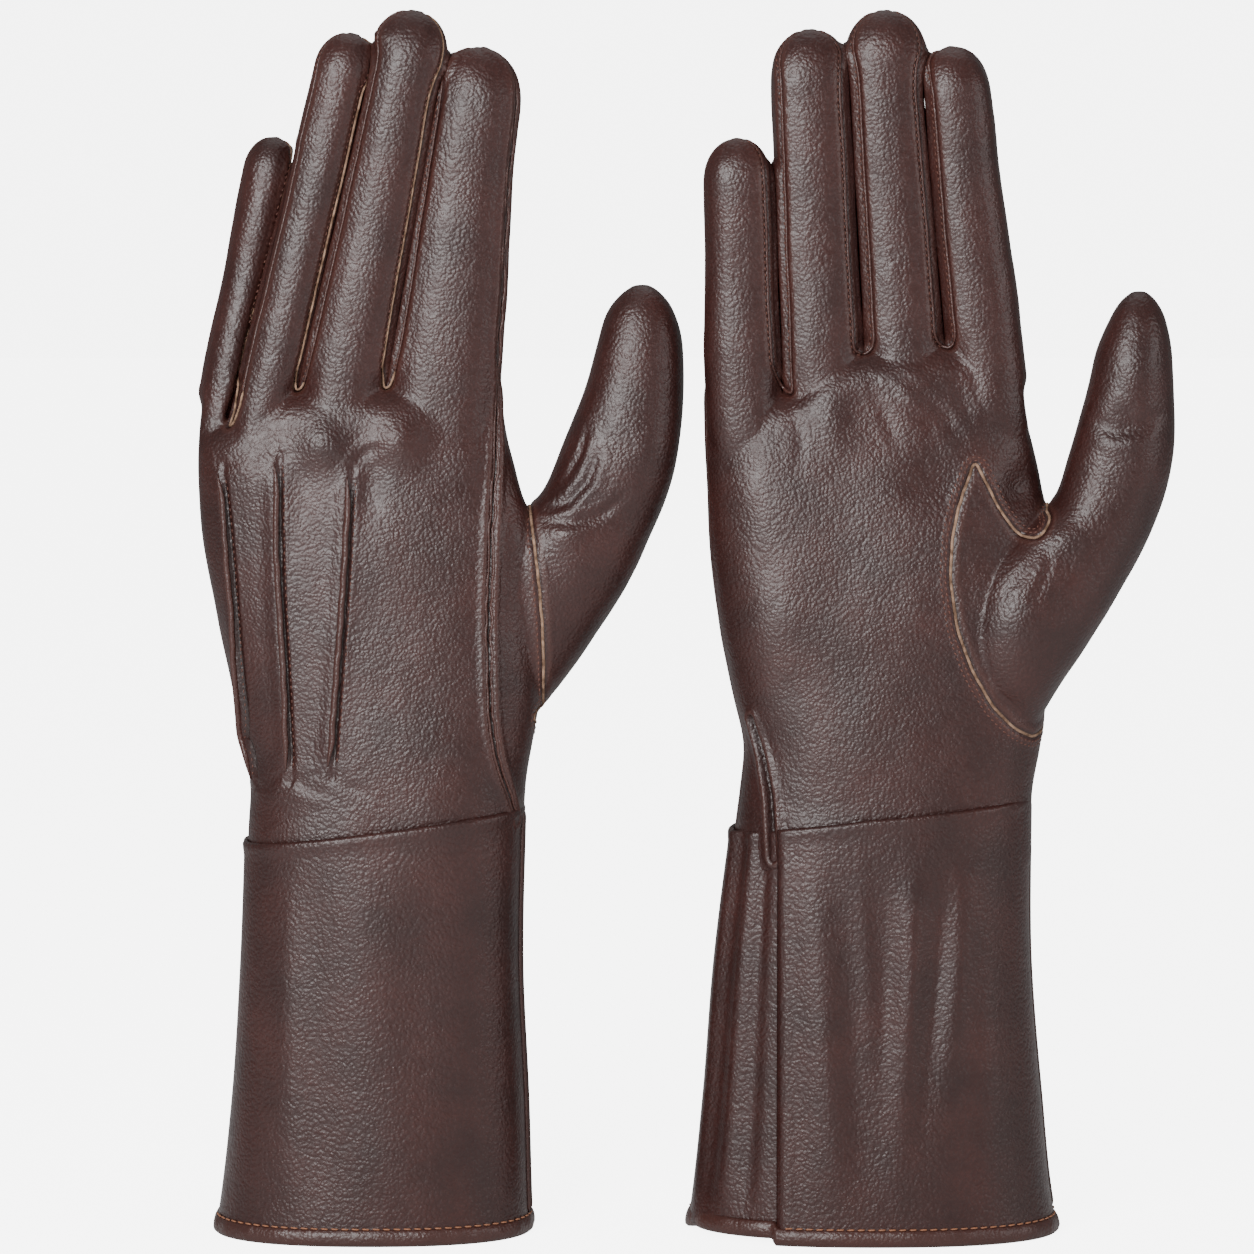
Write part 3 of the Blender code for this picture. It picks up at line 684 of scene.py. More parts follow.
def sideSeamPath(glove, tree):
    # where the back meets the palm on the thumb side, up the index finger and over its tip
    s = np.concatenate([1 - np.geomspace(0.004, 0.2, 20), np.linspace(0.78, 0.06, 30)])
    rise = math.radians(26) * (1 - 0.5 * (1 - ease(0.0, 0.16, 1 - s)))
    upper = fingerPoint(glove, "index", s, -rise)
    low = glove["sideSeam"]
    z = np.linspace(bendZ(glove, 30, -9) - 4, glove["seam"][1][1] - 3, 60)
    x = smoothTable(low["z"], low["x"], z)
    lower = castSkin(tree, np.stack([x, z], 1), -1)
    return softPath(spacedPath(np.concatenate([upper, lower]), step=0.8), 6)


def ulnarSeamPath(glove, tree):
    # where the back meets the palm on the little finger's side
    s = np.concatenate([1 - np.geomspace(0.004, 0.2, 20), np.linspace(0.78, 0.0, 30)])
    angle = math.pi + 0 * s
    upper = fingerPoint(glove, "pinky", s, angle)
    z = np.linspace(upper[-1][2] - 4, glove["seam"][0][1] + 1, 60)
    x = smoothTable(glove["hand"]["z"], glove["hand"]["ulnar"], z)
    lower = np.stack([x, np.interp(z, (150, upper[-1][2]), (0, upper[-1][1])), z], 1)
    return softPath(spacedPath(np.concatenate([upper, lower]), step=0.8), 6)


def thumbSeamPath(glove, tree):
    # closed, round the thumb's inset: down the back, up the palm to its point and back to the crotch
    back = castSkin(tree, spacedPath([(x, 0, z) for x, z in glove["thumbBack"]], step=1.5)[:, (0, 2)], -1)
    shift = glove["split"] - 43.5 if glove["palm"] > 0 else 0
    palm = castSkin(tree, spacedPath([(x + shift * 0.6, 0, z) for x, z in thumbPalm], step=0.8)[:, (0, 2)], 1)
    path = np.concatenate([back, palm, back[:1]])
    path = spacedPath(path, step=0.8)
    path, _ = nearestSkin(tree, path)
    return softPath(spacedPath(path, step=0.8), 3), len(back)


def pointPaths(glove, tree):
    out = []
    for knots in glove["points"]:
        knots = np.array(knots)[::-1]
        z = np.linspace(knots[0][1], knots[-1][1], 90)
        x = smoothTable(knots[:, 1], knots[:, 0], z)
        out.append(softPath(castSkin(tree, np.stack([x, z], 1), -1), 4))
    return out


def distanceTo(path, points, reach):
    # distance, which point of the path, and the signed offset in x, for points within reach
    tree = KDTree(len(path))
    for i, p in enumerate(path):
        tree.insert(Vector(p), i)
    tree.balance()
    low, high = path.min(0) - reach, path.max(0) + reach
    near = np.nonzero(np.all((points > low) & (points < high), axis=1))[0]
    far = np.full(len(points), 1e3)
    which = np.zeros(len(points), int)
    for k in near:
        _, i, d = tree.find(Vector(points[k]))
        if d < reach:
            far[k] = d
            which[k] = i
    return far, which


# trims laid on the skin

def tubeAlong(path, normals, wide, high, sides=8, taper=0.0, sink=0.0):
    # a flattened bead along the path: half width, half height, pinched at the ends over taper mm
    path = np.asarray(path, float)
    along = np.gradient(path, axis=0)
    along /= np.maximum(np.linalg.norm(along, axis=1, keepdims=True), 1e-9)
    across = np.cross(along, normals)
    across /= np.maximum(np.linalg.norm(across, axis=1, keepdims=True), 1e-9)
    up = np.cross(across, along)
    far = np.concatenate([[0], np.cumsum(np.linalg.norm(np.diff(path, axis=0), axis=1))])
    size = np.ones(len(path))
    if taper:
        size = np.clip(np.minimum(far, far[-1] - far) / taper, 0.06, 1) ** 0.6
    a = np.linspace(0, 2 * math.pi, sides + 1)[:-1]
    rings = (path[:, None] + up[:, None] * (high * size[:, None] * np.sin(a) - sink)[..., None]
             + across[:, None] * (wide * size[:, None] * np.cos(a))[..., None])
    n = len(path)
    points = np.concatenate([rings.reshape(-1, 3), [path[0] - up[0] * sink, path[-1] - up[-1] * sink]])
    quads = gridFaces(n, sides, True)[:, ::-1]
    caps = []
    for j in range(0, sides, 2):
        caps.append((j, (j + 1) % sides, (j + 2) % sides, n * sides))
        last = (n - 1) * sides
        caps.append((last + (j + 2) % sides, last + (j + 1) % sides, last + j, n * sides + 1))
    return points, np.concatenate([quads, np.array(caps)])


def stitchesAlong(path, normals, pitch, length, radius, lift=0.0, turn=0.0):
    # short beads of thread, one every pitch
    path = np.asarray(path, float)
    far = np.concatenate([[0], np.cumsum(np.linalg.norm(np.diff(path, axis=0), axis=1))])
    points, quads = [], []
    for middle in np.arange(pitch, far[-1] - pitch / 2, pitch):
        at = [np.interp(middle, far, path[:, i]) for i in range(3)]
        up = np.array([np.interp(middle, far, normals[:, i]) for i in range(3)])
        ahead = np.array([np.interp(middle + 0.4, far, path[:, i]) for i in range(3)])
        behind = np.array([np.interp(middle - 0.4, far, path[:, i]) for i in range(3)])
        along = (ahead - behind) / max(np.linalg.norm(ahead - behind), 1e-9)
        up = up / max(np.linalg.norm(up), 1e-9)
        across = np.cross(along, up)
        along = along * math.cos(turn) + across * math.sin(turn)
        across = np.cross(along, up)
        first = len(points)
        for u, size, drop in ((-0.5, 0.35, 0.9), (-0.3, 0.95, 0.15), (0.3, 0.95, 0.15), (0.5, 0.35, 0.9)):
            for k in range(6):
                a = 2 * math.pi * k / 6
                points.append(at + along * u * length + up * (lift - drop * radius + radius * size * math.sin(a))
                              + across * radius * size * math.cos(a))
        for r in range(3):
            for k in range(6):
                n = (k + 1) % 6
                quads.append((first + r * 6 + k, first + (r + 1) * 6 + k, first + (r + 1) * 6 + n, first + r * 6 + n))
        quads.append((first, first + 1, first + 2, first + 3))
        quads.append((first, first + 3, first + 4, first + 5))
        quads.append((first + 21, first + 20, first + 19, first + 18))
        quads.append((first + 18, first + 23, first + 22, first + 21))
    return np.array(points), np.array(quads)


def gathered(shapes):
    points, quads, start = [], [], 0
    for p, q in shapes:
        if len(p) == 0:
            continue
        points.append(p)
        quads.append(q + start)
        start += len(p)
    return np.concatenate(points), np.concatenate(quads)


def fingerBlend(glove, name):
    base, axis, across, palmward, length = fingerFrame(glove, name)
    plane = np.array([-bendSlope, -bendBackDrop, 1.0])
    plane /= np.linalg.norm(plane)
    start = np.array([base[0], bendDepth, bendZ(glove, base[0], bendDepth)])
    return toWorld(glove, start)[0], toWorld(glove, start + plane * 24)[0]


def thumbBlend(glove):
    return toWorld(glove, thumbBendIn)[0], toWorld(glove, thumbBendIn + thumbBendUp * 26)[0]


def finishPiece(glove, name, shape, material, body, nodes=(), shade=None, normals=None, solid=False):
    # into world metres, facing outwards, smooth; pieces of the hand ride with its body, those of the thumb and fingers
    # are baked where they stand
    points, quads = shape
    quads = quads[:, ::-1] if glove["palm"] < 0 else quads
    mesh = quickMesh(name, toWorld(glove, points), quads)
    mesh.polygons.foreach_set("use_smooth", np.ones(len(mesh.polygons), bool))
    mesh.materials.append(material)
    if material in (leather, cuffLeather):
        mark = mesh.attributes.new("shade", "FLOAT", "POINT")
        mark.data.foreach_set("value", (np.full(len(points), 0.5) if shade is None else shade).astype(np.float32))
    piece = addPiece(glove["name"] + "_" + name, mesh)
    if normals is not None:
        n = normals * (1, glove["palm"], 1)
        mesh.normals_split_custom_set_from_vertices([tuple(v) for v in n])
    side = glove["name"]
    if body == "hand":
        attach(piece, side + "_hand")
    elif body == "thumb":
        start, end = thumbBlend(glove)
        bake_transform(piece)
    else:
        start, end = fingerBlend(glove, body)
        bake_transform(piece)
    if nodes:
        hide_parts(*[side + "_" + n for n in nodes])
    return piece


# relief pressed into the skin: bumps over the knuckles and creases, (x, z) seen from that face

reliefSetup = {
    "left": {
        "bumps": (  # face, x, z, height, half width, half height
            (-1, -15.0, 215.5, 2.1, 6.4, 6.4), (-1, 5.5, 216.5, 2.1, 6.4, 6.2), (-1, 24.0, 211.0, 0.6, 7.0, 8.0),
            (-1, -36.0, 208.0, 0.7, 6.0, 7.0), (-1, -2.0, 205.0, -0.8, 4.0, 9.0), (-1, -20.0, 203.0, -0.5, 4.0, 8.0),
            (-1, 74.0, 214.0, 0.8, 6.0, 8.0), (-1, 62.0, 196.0, -0.9, 9.0, 4.5), (-1, 50.0, 190.0, 0.9, 5.0, 4.0),
            (1, 8.0, 160.0, 1.2, 14.0, 20.0), (1, -30.0, 165.0, 1.0, 12.0, 22.0), (1, -5.0, 195.0, -1.2, 14.0, 12.0),
            (-1, 37.0, 190.0, 0.8, 3.5, 8.0), (-1, -24.0, 121.0, 0.5, 8.0, 4.0)),
        "creases": (  # face, depth, half width, path
            (-1, 0.6, 1.4, ((45, 197), (51, 199.5), (56, 205), (58.5, 212))),
            (-1, 0.45, 1.4, ((44, 194), (52, 193.5), (60, 196), (66, 201))),
            (-1, 0.35, 1.0, ((50, 205), (54, 212), (56, 219))),
            (-1, 0.30, 1.3, ((-7.5, 208.5), (-5, 212), (1, 215))),
            (-1, 0.25, 1.2, ((-9.5, 208.5), (-12, 211.5), (-15, 213))),
            (-1, 0.20, 1.4, ((-14, 127.5), (-9, 124), (-3, 122))),
            (-1, 0.20, 1.4, ((-25, 126), (-20, 123), (-13, 121.5))),
            (1, 0.5, 1.1, ((-44, 214), (-20, 212), (5, 203), (18, 190))),
            (1, 0.4, 1.1, ((20, 216), (5, 211), (-12, 197), (-20, 180)))),
    },
    "right": {
        "bumps": (
            (1, 5.0, 227.0, 0.9, 5.0, 7.0), (1, -16.0, 222.0, 0.9, 5.0, 8.0), (1, 26.0, 226.0, 0.8, 5.0, 8.0),
            (1, -36.0, 205.0, 1.0, 8.0, 18.0), (1, 36.0, 203.0, -2.6, 6.0, 6.5), (1, 12.0, 205.0, -1.0, 9.0, 8.0),
            (1, 33.0, 172.0, 1.6, 10.0, 16.0), (1, -14.0, 185.0, -1.1, 12.0, 26.0), (1, 63.0, 222.0, -1.0, 6.0, 3.0),
            (1, 67.0, 210.0, 0.8, 7.0, 8.0), (1, 66.0, 236.0, 0.7, 6.0, 7.0), (1, -33.0, 165.0, 1.2, 9.0, 18.0),
            (1, 46.0, 190.0, 0.8, 5.0, 4.0), (-1, -15.0, 215.0, 1.2, 6.0, 6.5), (-1, 5.5, 219.0, 1.4, 6.5, 6.0),
            (-1, 24.0, 217.0, 0.8, 7.0, 8.0), (-1, -36.0, 208.0, 0.7, 6.0, 7.0)),
        "creases": (
            (1, 0.24, 1.8, ((-3, 237), (5, 231), (14, 223), (21, 213))),
            (1, 0.16, 1.6, ((-5, 234), (3, 227), (11, 219))),
            (1, 0.14, 1.6, ((-6, 233), (-2, 224), (2, 214))),
            (1, 0.16, 1.6, ((17, 237), (19, 228), (22, 219))),
            (1, 0.16, 1.6, ((-26, 224), (-24, 216), (-25, 208))),
            (1, 0.60, 2.0, ((54, 221), (60, 218.5), (66, 219.5), (72, 223))),
            (1, 0.25, 1.3, ((40, 187), (36, 181), (30, 175))),
            (1, 0.22, 1.2, ((42, 188), (42, 182), (38, 173)))),
    },
}


def pressRelief(glove, tree, points, normals, paths):
    # how far each point of the skin moves out, and how its colour is marked: 0 is painted shade in a seam, 1 a rubbed
    # edge with painted highlight
    out = 0.28 * softNoise(points, 17, 3) + 0.10 * softNoise(points, 6.5, 8)
    shade = np.full(len(points), 0.5)
    setup = reliefSetup[glove["name"]]
    for face, x, z, height, wide, tall in setup["bumps"]:
        facing = ease(-0.1, 0.5, normals[:, 1] * face)
        out += height * hump(points[:, 0] - x, wide) * hump(points[:, 2] - z, tall) * facing
    for face, depth, wide, knots in setup["creases"]:
        path = spacedPath([(x, 0, z) for x, z in knots], step=0.6)
        path = softPath(castSkin(tree, path[:, (0, 2)], face), 3)
        far, which = distanceTo(path, points, wide * 4)
        fade = np.sin(np.clip(which / (len(path) - 1) * 0.94 + 0.03, 0, 1) * math.pi) ** 0.6
        out += (-depth * hump(far, wide) + 0.45 * depth * hump(far - wide * 1.8, wide)) * fade
    sunk, raised, dark, rubbedAndHighlight = (np.zeros(len(points)) for _ in range(4))     # the seams' own, so that seams that meet don't add up
    for name, path in paths["grooves"]:
        far, which = distanceTo(path, points, 6)
        depth, wide, roll = grooveSetup[name]
        sunk = np.maximum(sunk, depth * hump(far, wide))
        raised = np.maximum(raised, roll * hump(far - 1.9, 1.1))
        # painted shade along each seam's groove
        dark = np.maximum(dark, 0.45 * hump(far, wide * 1.1))
        # rubbed wear and painted highlight on the rolled rise beside each seam
        rubbedAndHighlight = np.maximum(rubbedAndHighlight, 0.12 * hump(far - 1.6, 0.7))
    out += raised - sunk
    shade += rubbedAndHighlight - dark
    for path in paths["points"]:
        far, which = distanceTo(path, points, 9)
        side = points[:, 0] - path[which][:, 0]
        end = ease(0, 5, which) * ease(0, 5, len(path) - 1 - which)
        out += (0.85 * hump(far, 2.6) - 1.3 * hump(side - 1.5, 0.8) * (far < 4)) * (0.35 + 0.65 * end)
        # painted shadow in the slit beside each ridge
        shade -= 0.5 * hump(side - 1.45, 0.8) * (far < 4) * end
        pucker = hump(far, 7) * (1 - end)
        out += 0.14 * pucker * np.sin(np.arctan2(points[:, 2] - path[which][:, 2], side) * 6 + 1) * np.clip(far / 3, 0, 1)
    return out, np.clip(shade, 0, 1)


grooveSetup = {  # depth, half width, rolled rise beside it
    "side": (0.9, 0.55, 0.55),
    "ulnar": (0.5, 0.55, 0.3),
    "thumb": (0.35, 0.6, 0.12),
    "crotch": (0.55, 0.6, 0.25),
    "pleat": (1.5, 0.8, 0.6),
}


def buildSkin(glove):
    points, quads = gloveForm(glove)
    side = glove["name"]
    print(side, "skin", len(points), "points")
    # close the gaps between the fingers again
    local = {name: localFinger(glove, name, points) for name in fingerNames}
    nearest = np.argmin(np.stack([local[name][4] for name in fingerNames]), axis=0)
    topZ = smoothTable(glove["top"]["x"], glove["top"]["z"], points[:, 0])
    thumbSide = points[:, 0] > glove["split"] + 0.15 * (points[:, 2] - 196)
    for i, name in enumerate(fingerNames):
        base, axis, across, palmward, length = fingerFrame(glove, name)
        c, n, s, angle, _ = local[name]
        mine = (nearest == i) & (points[:, 2] > topZ - 4) & ~thumbSide
        turn = np.where(c > 0, 1, -1)
        closed = np.where(turn > 0, halfWidth(glove, name, np.clip(s, -1, 1), 1, skinSetup["closed"]),
                          halfWidth(glove, name, np.clip(s, -1, 1), -1, skinSetup["closed"]))
        opened = np.where(turn > 0, halfWidth(glove, name, np.clip(s, -1, 1), 1, skinSetup["open"]),
                          halfWidth(glove, name, np.clip(s, -1, 1), -1, skinSetup["open"]))
        grow = np.clip(closed - opened, 0, 0.8) * np.clip(abs(c) / np.maximum(opened, 1), 0, 1) * turn
        move = grow * ease(-2, 9, points[:, 2] - topZ) * mine
        points = points + np.multiply.outer(move, across)
        # fourchettes sit back from the seams
        for way in sidesJoined[name]:
            turned = angle if way > 0 else np.where(angle > 0, math.pi - angle, -math.pi - angle)
            seam = np.where(turned > 0, math.radians(skinSetup["frontSeam"]), math.radians(skinSetup["backSeam"]))
            inside = (1 - ease(-0.10, 0.07, abs(turned) - seam)) * np.clip(abs(turned) / seam, 0, 1) ** 0.8
            back = skinSetup["recess"] * inside * ease(-2, 8, points[:, 2] - topZ) * (1 - ease(0.86, 0.97, s)) * mine
            points = points - np.multiply.outer(back * way, across)
    # what the easing took off between two fingers is put back, until they all but touch
    tree = BVHTree.FromPolygons([tuple(p) for p in points], [tuple(q) for q in quads])
    for i, name in enumerate(fingerNames):
        base, axis, across, palmward, length = fingerFrame(glove, name)
        c, n, s, angle, _ = local[name]
        for way in sidesJoined[name]:
            side_ = np.nonzero((nearest == i) & (points[:, 2] > topZ - 2.5) & ~thumbSide & (c * way > 0) & (abs(n) < 5.5))[0]
            for k in side_:
                hit = tree.ray_cast(Vector(points[k] + across * way * 0.05), Vector(across * way), 3.6)
                if hit[0] is not None:
                    share = (1 - ease(1.9, 3.2, hit[3])) * ease(-2.5, 0.5, points[k][2] - topZ[k])
                    points[k] += across * way * (max(hit[3] - 0.14, -0.2) / 2 * share)
    tree = BVHTree.FromPolygons([tuple(p) for p in points], [tuple(q) for q in quads])
    normals = normalsFor(points, quads)
    crotch = crotchSeams(glove, tree)
    sidePath, ulnarPath = sideSeamPath(glove, tree), ulnarSeamPath(glove, tree)
    thumbPath, thumbFoot = thumbSeamPath(glove, tree)
    pleat = softPath(castSkin(tree, spacedPath([(x, 0, z) for x, z in glove["pleat"]], step=0.8)[:, (0, 2)], 1), 4)
    paths = {"grooves": [("side", sidePath), ("ulnar", ulnarPath), ("thumb", thumbPath), ("pleat", pleat)]
             + [("crotch", c["path"]) for c in crotch], "points": pointPaths(glove, tree)}
    out, shade = pressRelief(glove, tree, points, normals, paths)
    points = points + normals * out[:, None]
    normals = normalsFor(points, quads)
    tree = BVHTree.FromPolygons([tuple(p) for p in points], [tuple(q) for q in quads])
    return {"points": points, "quads": quads, "normals": normals, "shade": shade, "tree": tree, "crotch": crotch,
            "side": sidePath, "ulnar": ulnarPath, "thumb": thumbPath, "ridges": paths["points"]}


def insidePolygon(x, z, shape):
    shape = np.asarray(shape, float)
    inside = np.zeros(len(x), bool)
    for (x0, z0), (x1, z1) in zip(shape, np.roll(shape, -1, axis=0)):
        crosses = (z0 > z) != (z1 > z)
        inside ^= crosses & (x < (x1 - x0) * (z - z0) / (z1 - z0 + 1e-12) + x0)
    return inside


def cutPieces(glove, skin):
    # each face of the skin given to the piece it is cut from
    points, quads = skin["points"], skin["quads"]
    middle = points[quads].mean(axis=1)
    x, y, z = middle.T
    facing = normalsFor(points, quads)[quads[:, 0]]
    thumb = ((middle - thumbBendIn) @ thumbBendUp > 0) & (x > glove["split"] + 0.15 * (z - 196))
    finger = (z > bendZ(glove, x, y)) & ~thumb
    label = np.full(len(quads), "hand_palm", dtype="<U24")
    back = np.array(glove["thumbBack"])
    seam = smoothTable(glove["sideSeam"]["z"], glove["sideSeam"]["x"], z)
    label[(y < 0) & (x < seam)] = "hand_back"
    palmShape = list(thumbPalm) + [(95, 196), (95, 136)]
    inset = np.where(y > 0, insidePolygon(x, z, palmShape),
                     (x > np.interp(z, back[::-1, 1], back[::-1, 0])) & (z > 138) & (z < 212))
    label[inset & ~finger] = "thumb_base"
    label[thumb] = "thumb_sheath"
    scores, angles = [], []
    for name in fingerNames:
        found = localFinger(glove, name, middle)
        scores.append(found[4])
        angles.append(found[3])
    nearest = np.argmin(np.stack(scores), axis=0)
    for i, name in enumerate(fingerNames):
        mine = finger & (nearest == i)
        label[mine & (angles[i] > 0)] = name + "_front"
        label[mine & (angles[i] <= 0)] = name + "_back"
        for way in sidesJoined[name]:
            turned = angles[i] if way > 0 else np.where(angles[i] > 0, math.pi - angles[i], -math.pi - angles[i])
            limit = np.where(turned > 0, math.radians(skinSetup["frontSeam"]), math.radians(skinSetup["backSeam"]))
            label[mine & (abs(turned) < limit)] = name + "_strip_" + ("thumbward" if way > 0 else "pinkyward")
    return label


def sewSkin(glove, skin):
    label = cutPieces(glove, skin)
    for name in sorted(set(label)):
        faces = skin["quads"][label == name]
        used, index = np.unique(faces, return_inverse=True)
        body = "hand" if name.startswith("hand") or name == "thumb_base" else name.split("_")[0]
        nodes = [name]
        finishPiece(glove, name + "_leather", (skin["points"][used], index.reshape(faces.shape)), leather, body, nodes,
                    skin["shade"][used], skin["normals"][used])
    print(glove["name"], "skin cut into", len(set(label)), "pieces")


skins = {}
for glove in (leftGlove, rightGlove):
    skins[glove["name"]] = buildSkin(glove)
    sewSkin(glove, skins[glove["name"]])


# trims: rolled and raw edges, threads

trimSetup = {
    "rolled": (0.50, 0.42),   # half width and half height of the rolled edge between a front and a fourchette
    "raw": (0.30, 0.36),      # of a cut edge on the backs of the fingers
    "inset": (0.42, 0.34),    # of the cut edge round the thumb
    "pitch": 1.7,
    "hemPitch": 2.8,
}


def splitAtBend(glove, path, a, b):
    # runs of the path by what they bend with: finger a, the hand, finger b
    above = path[:, 2] > bendZ(glove, path[:, 0], path[:, 1])
    hand = np.nonzero(~above)[0]
    if len(hand) == 0:
        middle = int(np.argmin(path[:, 2]))
        return [(a, path[: middle + 1]), (b, path[middle:])]
    first, last = hand[0], hand[-1]
    return [(a, path[: first + 1]), ("hand", path[max(first - 1, 0): last + 2]), (b, path[last:])]


def offsetPath(path, normals, by):
    along = np.gradient(path, axis=0)
    along /= np.maximum(np.linalg.norm(along, axis=1, keepdims=True), 1e-9)
    across = np.cross(along, normals)
    return path + across / np.maximum(np.linalg.norm(across, axis=1, keepdims=True), 1e-9) * by


def buildTrims(glove, skin):
    tree = skin["tree"]
    edges, threads = {}, {}

    def add(store, body, material, shape):
        store.setdefault((body, material.name), []).append(shape)

    for seam in skin["crotch"]:
        a, b = fingerNames[seam["gap"]], fingerNames[seam["gap"] + 1]
        for body, run in splitAtBend(glove, seam["path"], a, b):
            if len(run) < 4:
                continue
            spots, normals = nearestSkin(tree, run)
            spots, normals = softPath(spots, 3), softPath(normals, 6)
            if seam["face"] > 0:
                wide, high = trimSetup["rolled"]
                add(edges, body, leather, tubeAlong(spots, normals, wide, high, sink=-0.12, taper=1.0))
                lines = offsetPath(spots, normals, 1.0 if body == b else -1.0 if body == a else 0.0)
            else:
                wide, high = trimSetup["raw"]
                shown = body != b
                add(edges, body, rawEdge if shown else leather, tubeAlong(spots, normals, wide, high, sink=-0.18, taper=1.0))
                lines = offsetPath(spots, normals, 0.9 if body == a else -0.9)
            if body == "hand":
                continue
            sewn, up = nearestSkin(tree, lines)
            add(threads, body, brownThread, stitchesAlong(sewn, up, trimSetup["pitch"], 1.05, 0.17, 0.03, 0.25))

    # side seams: rolled beads
    for key, first in (("side", "index"), ("ulnar", "pinky")):
        path = skin[key]
        above = path[:, 2] > bendZ(glove, path[:, 0], path[:, 1])
        turn = int(np.nonzero(~above)[0][0])
        for body, run in ((first, path[: turn + 1]), ("hand", path[turn - 1:])):
            spots, normals = nearestSkin(tree, run)
            spots, normals = softPath(spots, 3), softPath(normals, 6)
            for by in ((-0.95, 0.95) if key == "side" else (0.0,)):
                line, up = nearestSkin(tree, offsetPath(spots, normals, by))
                add(edges, body, leather, tubeAlong(softPath(line, 3), softPath(up, 5), 0.42, 0.36, sink=0.02, taper=1.5))

    # thumb inset: cut edge and two rows of stitches on the hand's side
    path = skin["thumb"]
    spots, normals = nearestSkin(tree, path)
    spots, normals = softPath(spots, 2), softPath(normals, 6)
    wide, high = trimSetup["inset"]
    ragged = 0.10 * softNoise(spots, 2.4, 5)[:, None] * normals
    add(edges, "hand", rawEdge, tubeAlong(spots + ragged, normals, wide, high, sink=-0.12))
    for by in (1.5, 2.7):
        line = offsetPath(spots, normals, by)
        sewn, up = nearestSkin(tree, line)
        if by > 2:
            palmOnly = sewn[:, 1] > 2
            first = int(np.argmax(palmOnly))
            sewn, up = sewn[first:], up[first:]
        add(threads, "hand", brownThread, stitchesAlong(softPath(sewn, 2), up, 1.6, 1.0, 0.2, 0.02, 0.3))

    # points on the back: a pinched ridge with its stitches beside it
    for i, ridge in enumerate(skin["ridges"]):
        spots, normals = nearestSkin(tree, ridge)
        spots, normals = softPath(spots, 4), softPath(normals, 8)
        shape = tubeAlong(spots, normals, 0.85, 0.95, sides=10, taper=7, sink=-0.15)
        # the ridge drawn lighter: rubbed wear and painted highlight
        shade = np.full(len(shape[0]), 0.62)
        finishPiece(glove, "point_%d_ridge" % (i + 1), shape, leather, "hand", ["point_%d" % (i + 1)], shade)
        line = spots + np.array([2.1, 0, 0])
        sewn, up = nearestSkin(tree, line)
        add(threads, "hand", brownThread, stitchesAlong(sewn, up, 1.9, 1.0, 0.17, 0.02, 0.1))

    for kind, store in (("edges", edges), ("stitches", threads)):
        for (body, materialName), shapes in store.items():
            material = bpy.data.materials[materialName]
            name = body + "_" + materialName[:4] + "_" + kind
            nodes = ()
            if kind == "edges" and body == "hand" and material == leather:
                nodes = ("side_piping", "ulnar_piping")
            shape = gathered(shapes)
            # the leather edges drawn lighter: rubbed wear and painted highlight
            shade = np.full(len(shape[0]), 0.66)
            finishPiece(glove, name, shape, material, body, nodes, shade)
    print(glove["name"], "trims")


for glove in (leftGlove, rightGlove):
    buildTrims(glove, skins[glove["name"]])


# cuffs

cuffSetup = {
    "skin": 1.5,
    "hem": 4.2,
    "hemWide": 3.4,
    "liningInset": 4.6,
    "foldStep": 2.4,
    "rows": 90,
    "squareness": 2.4,
}


def seamZ(glove, x):
    (x0, z0), (x1, z1) = glove["seam"]
    return z0 + (z1 - z0) * (x - x0) / (x1 - x0)


def cuffPoint(glove, z, angle, out=0.0):
    t = glove["cuff"]
    z, angle = np.broadcast_arrays(np.asarray(z, float), np.asarray(angle, float))
    left, right = smoothTable(t["z"], t["ulnar"], z) - out, smoothTable(t["z"], t["thumb"], z) + out
    deep = smoothTable(t["z"], t["deep"], z) + out
    c, s = superOval(angle, cuffSetup["squareness"])
    return np.stack([(left + right) / 2 + (right - left) / 2 * c, deep * s, z], -1)


def cuffFolds(glove, x, angle, z):
    # soft vertical drape of the standing cuff, fading to the hem and the seam
    fade = ease(4, 26, z) * (1 - ease(88, 112, z))
    palm = ease(0.1, 0.6, np.sin(angle))
    back = ease(0.1, 0.6, -np.sin(angle))
    out = 0.35 * np.sin(x * 0.16 + 1.0 + z * 0.01) * back
    out += (0.9 * hump(x - (6 - 0.10 * (70 - z)), 3.2) - 0.8 * hump(x - (12.5 - 0.13 * (70 - z)), 3.0)
            + 0.6 * hump(x - (19 - 0.10 * (70 - z)), 3.4) - 0.6 * hump(x - (-1 - 0.08 * (70 - z)), 3.0)) * hump(z - 72, 30) * palm
    out += (0.7 * hump(x + 18, 6) - 0.6 * hump(x + 10, 5) + 0.5 * hump(x - 27, 5)) * palm * hump(z - 55, 45)
    out += 0.7 * hump(x + 24, 5) * back * hump(z - 60, 45) - 0.5 * hump(x - 8, 9) * back * hump(z - 62, 32)
    return out * 1.5 * fade


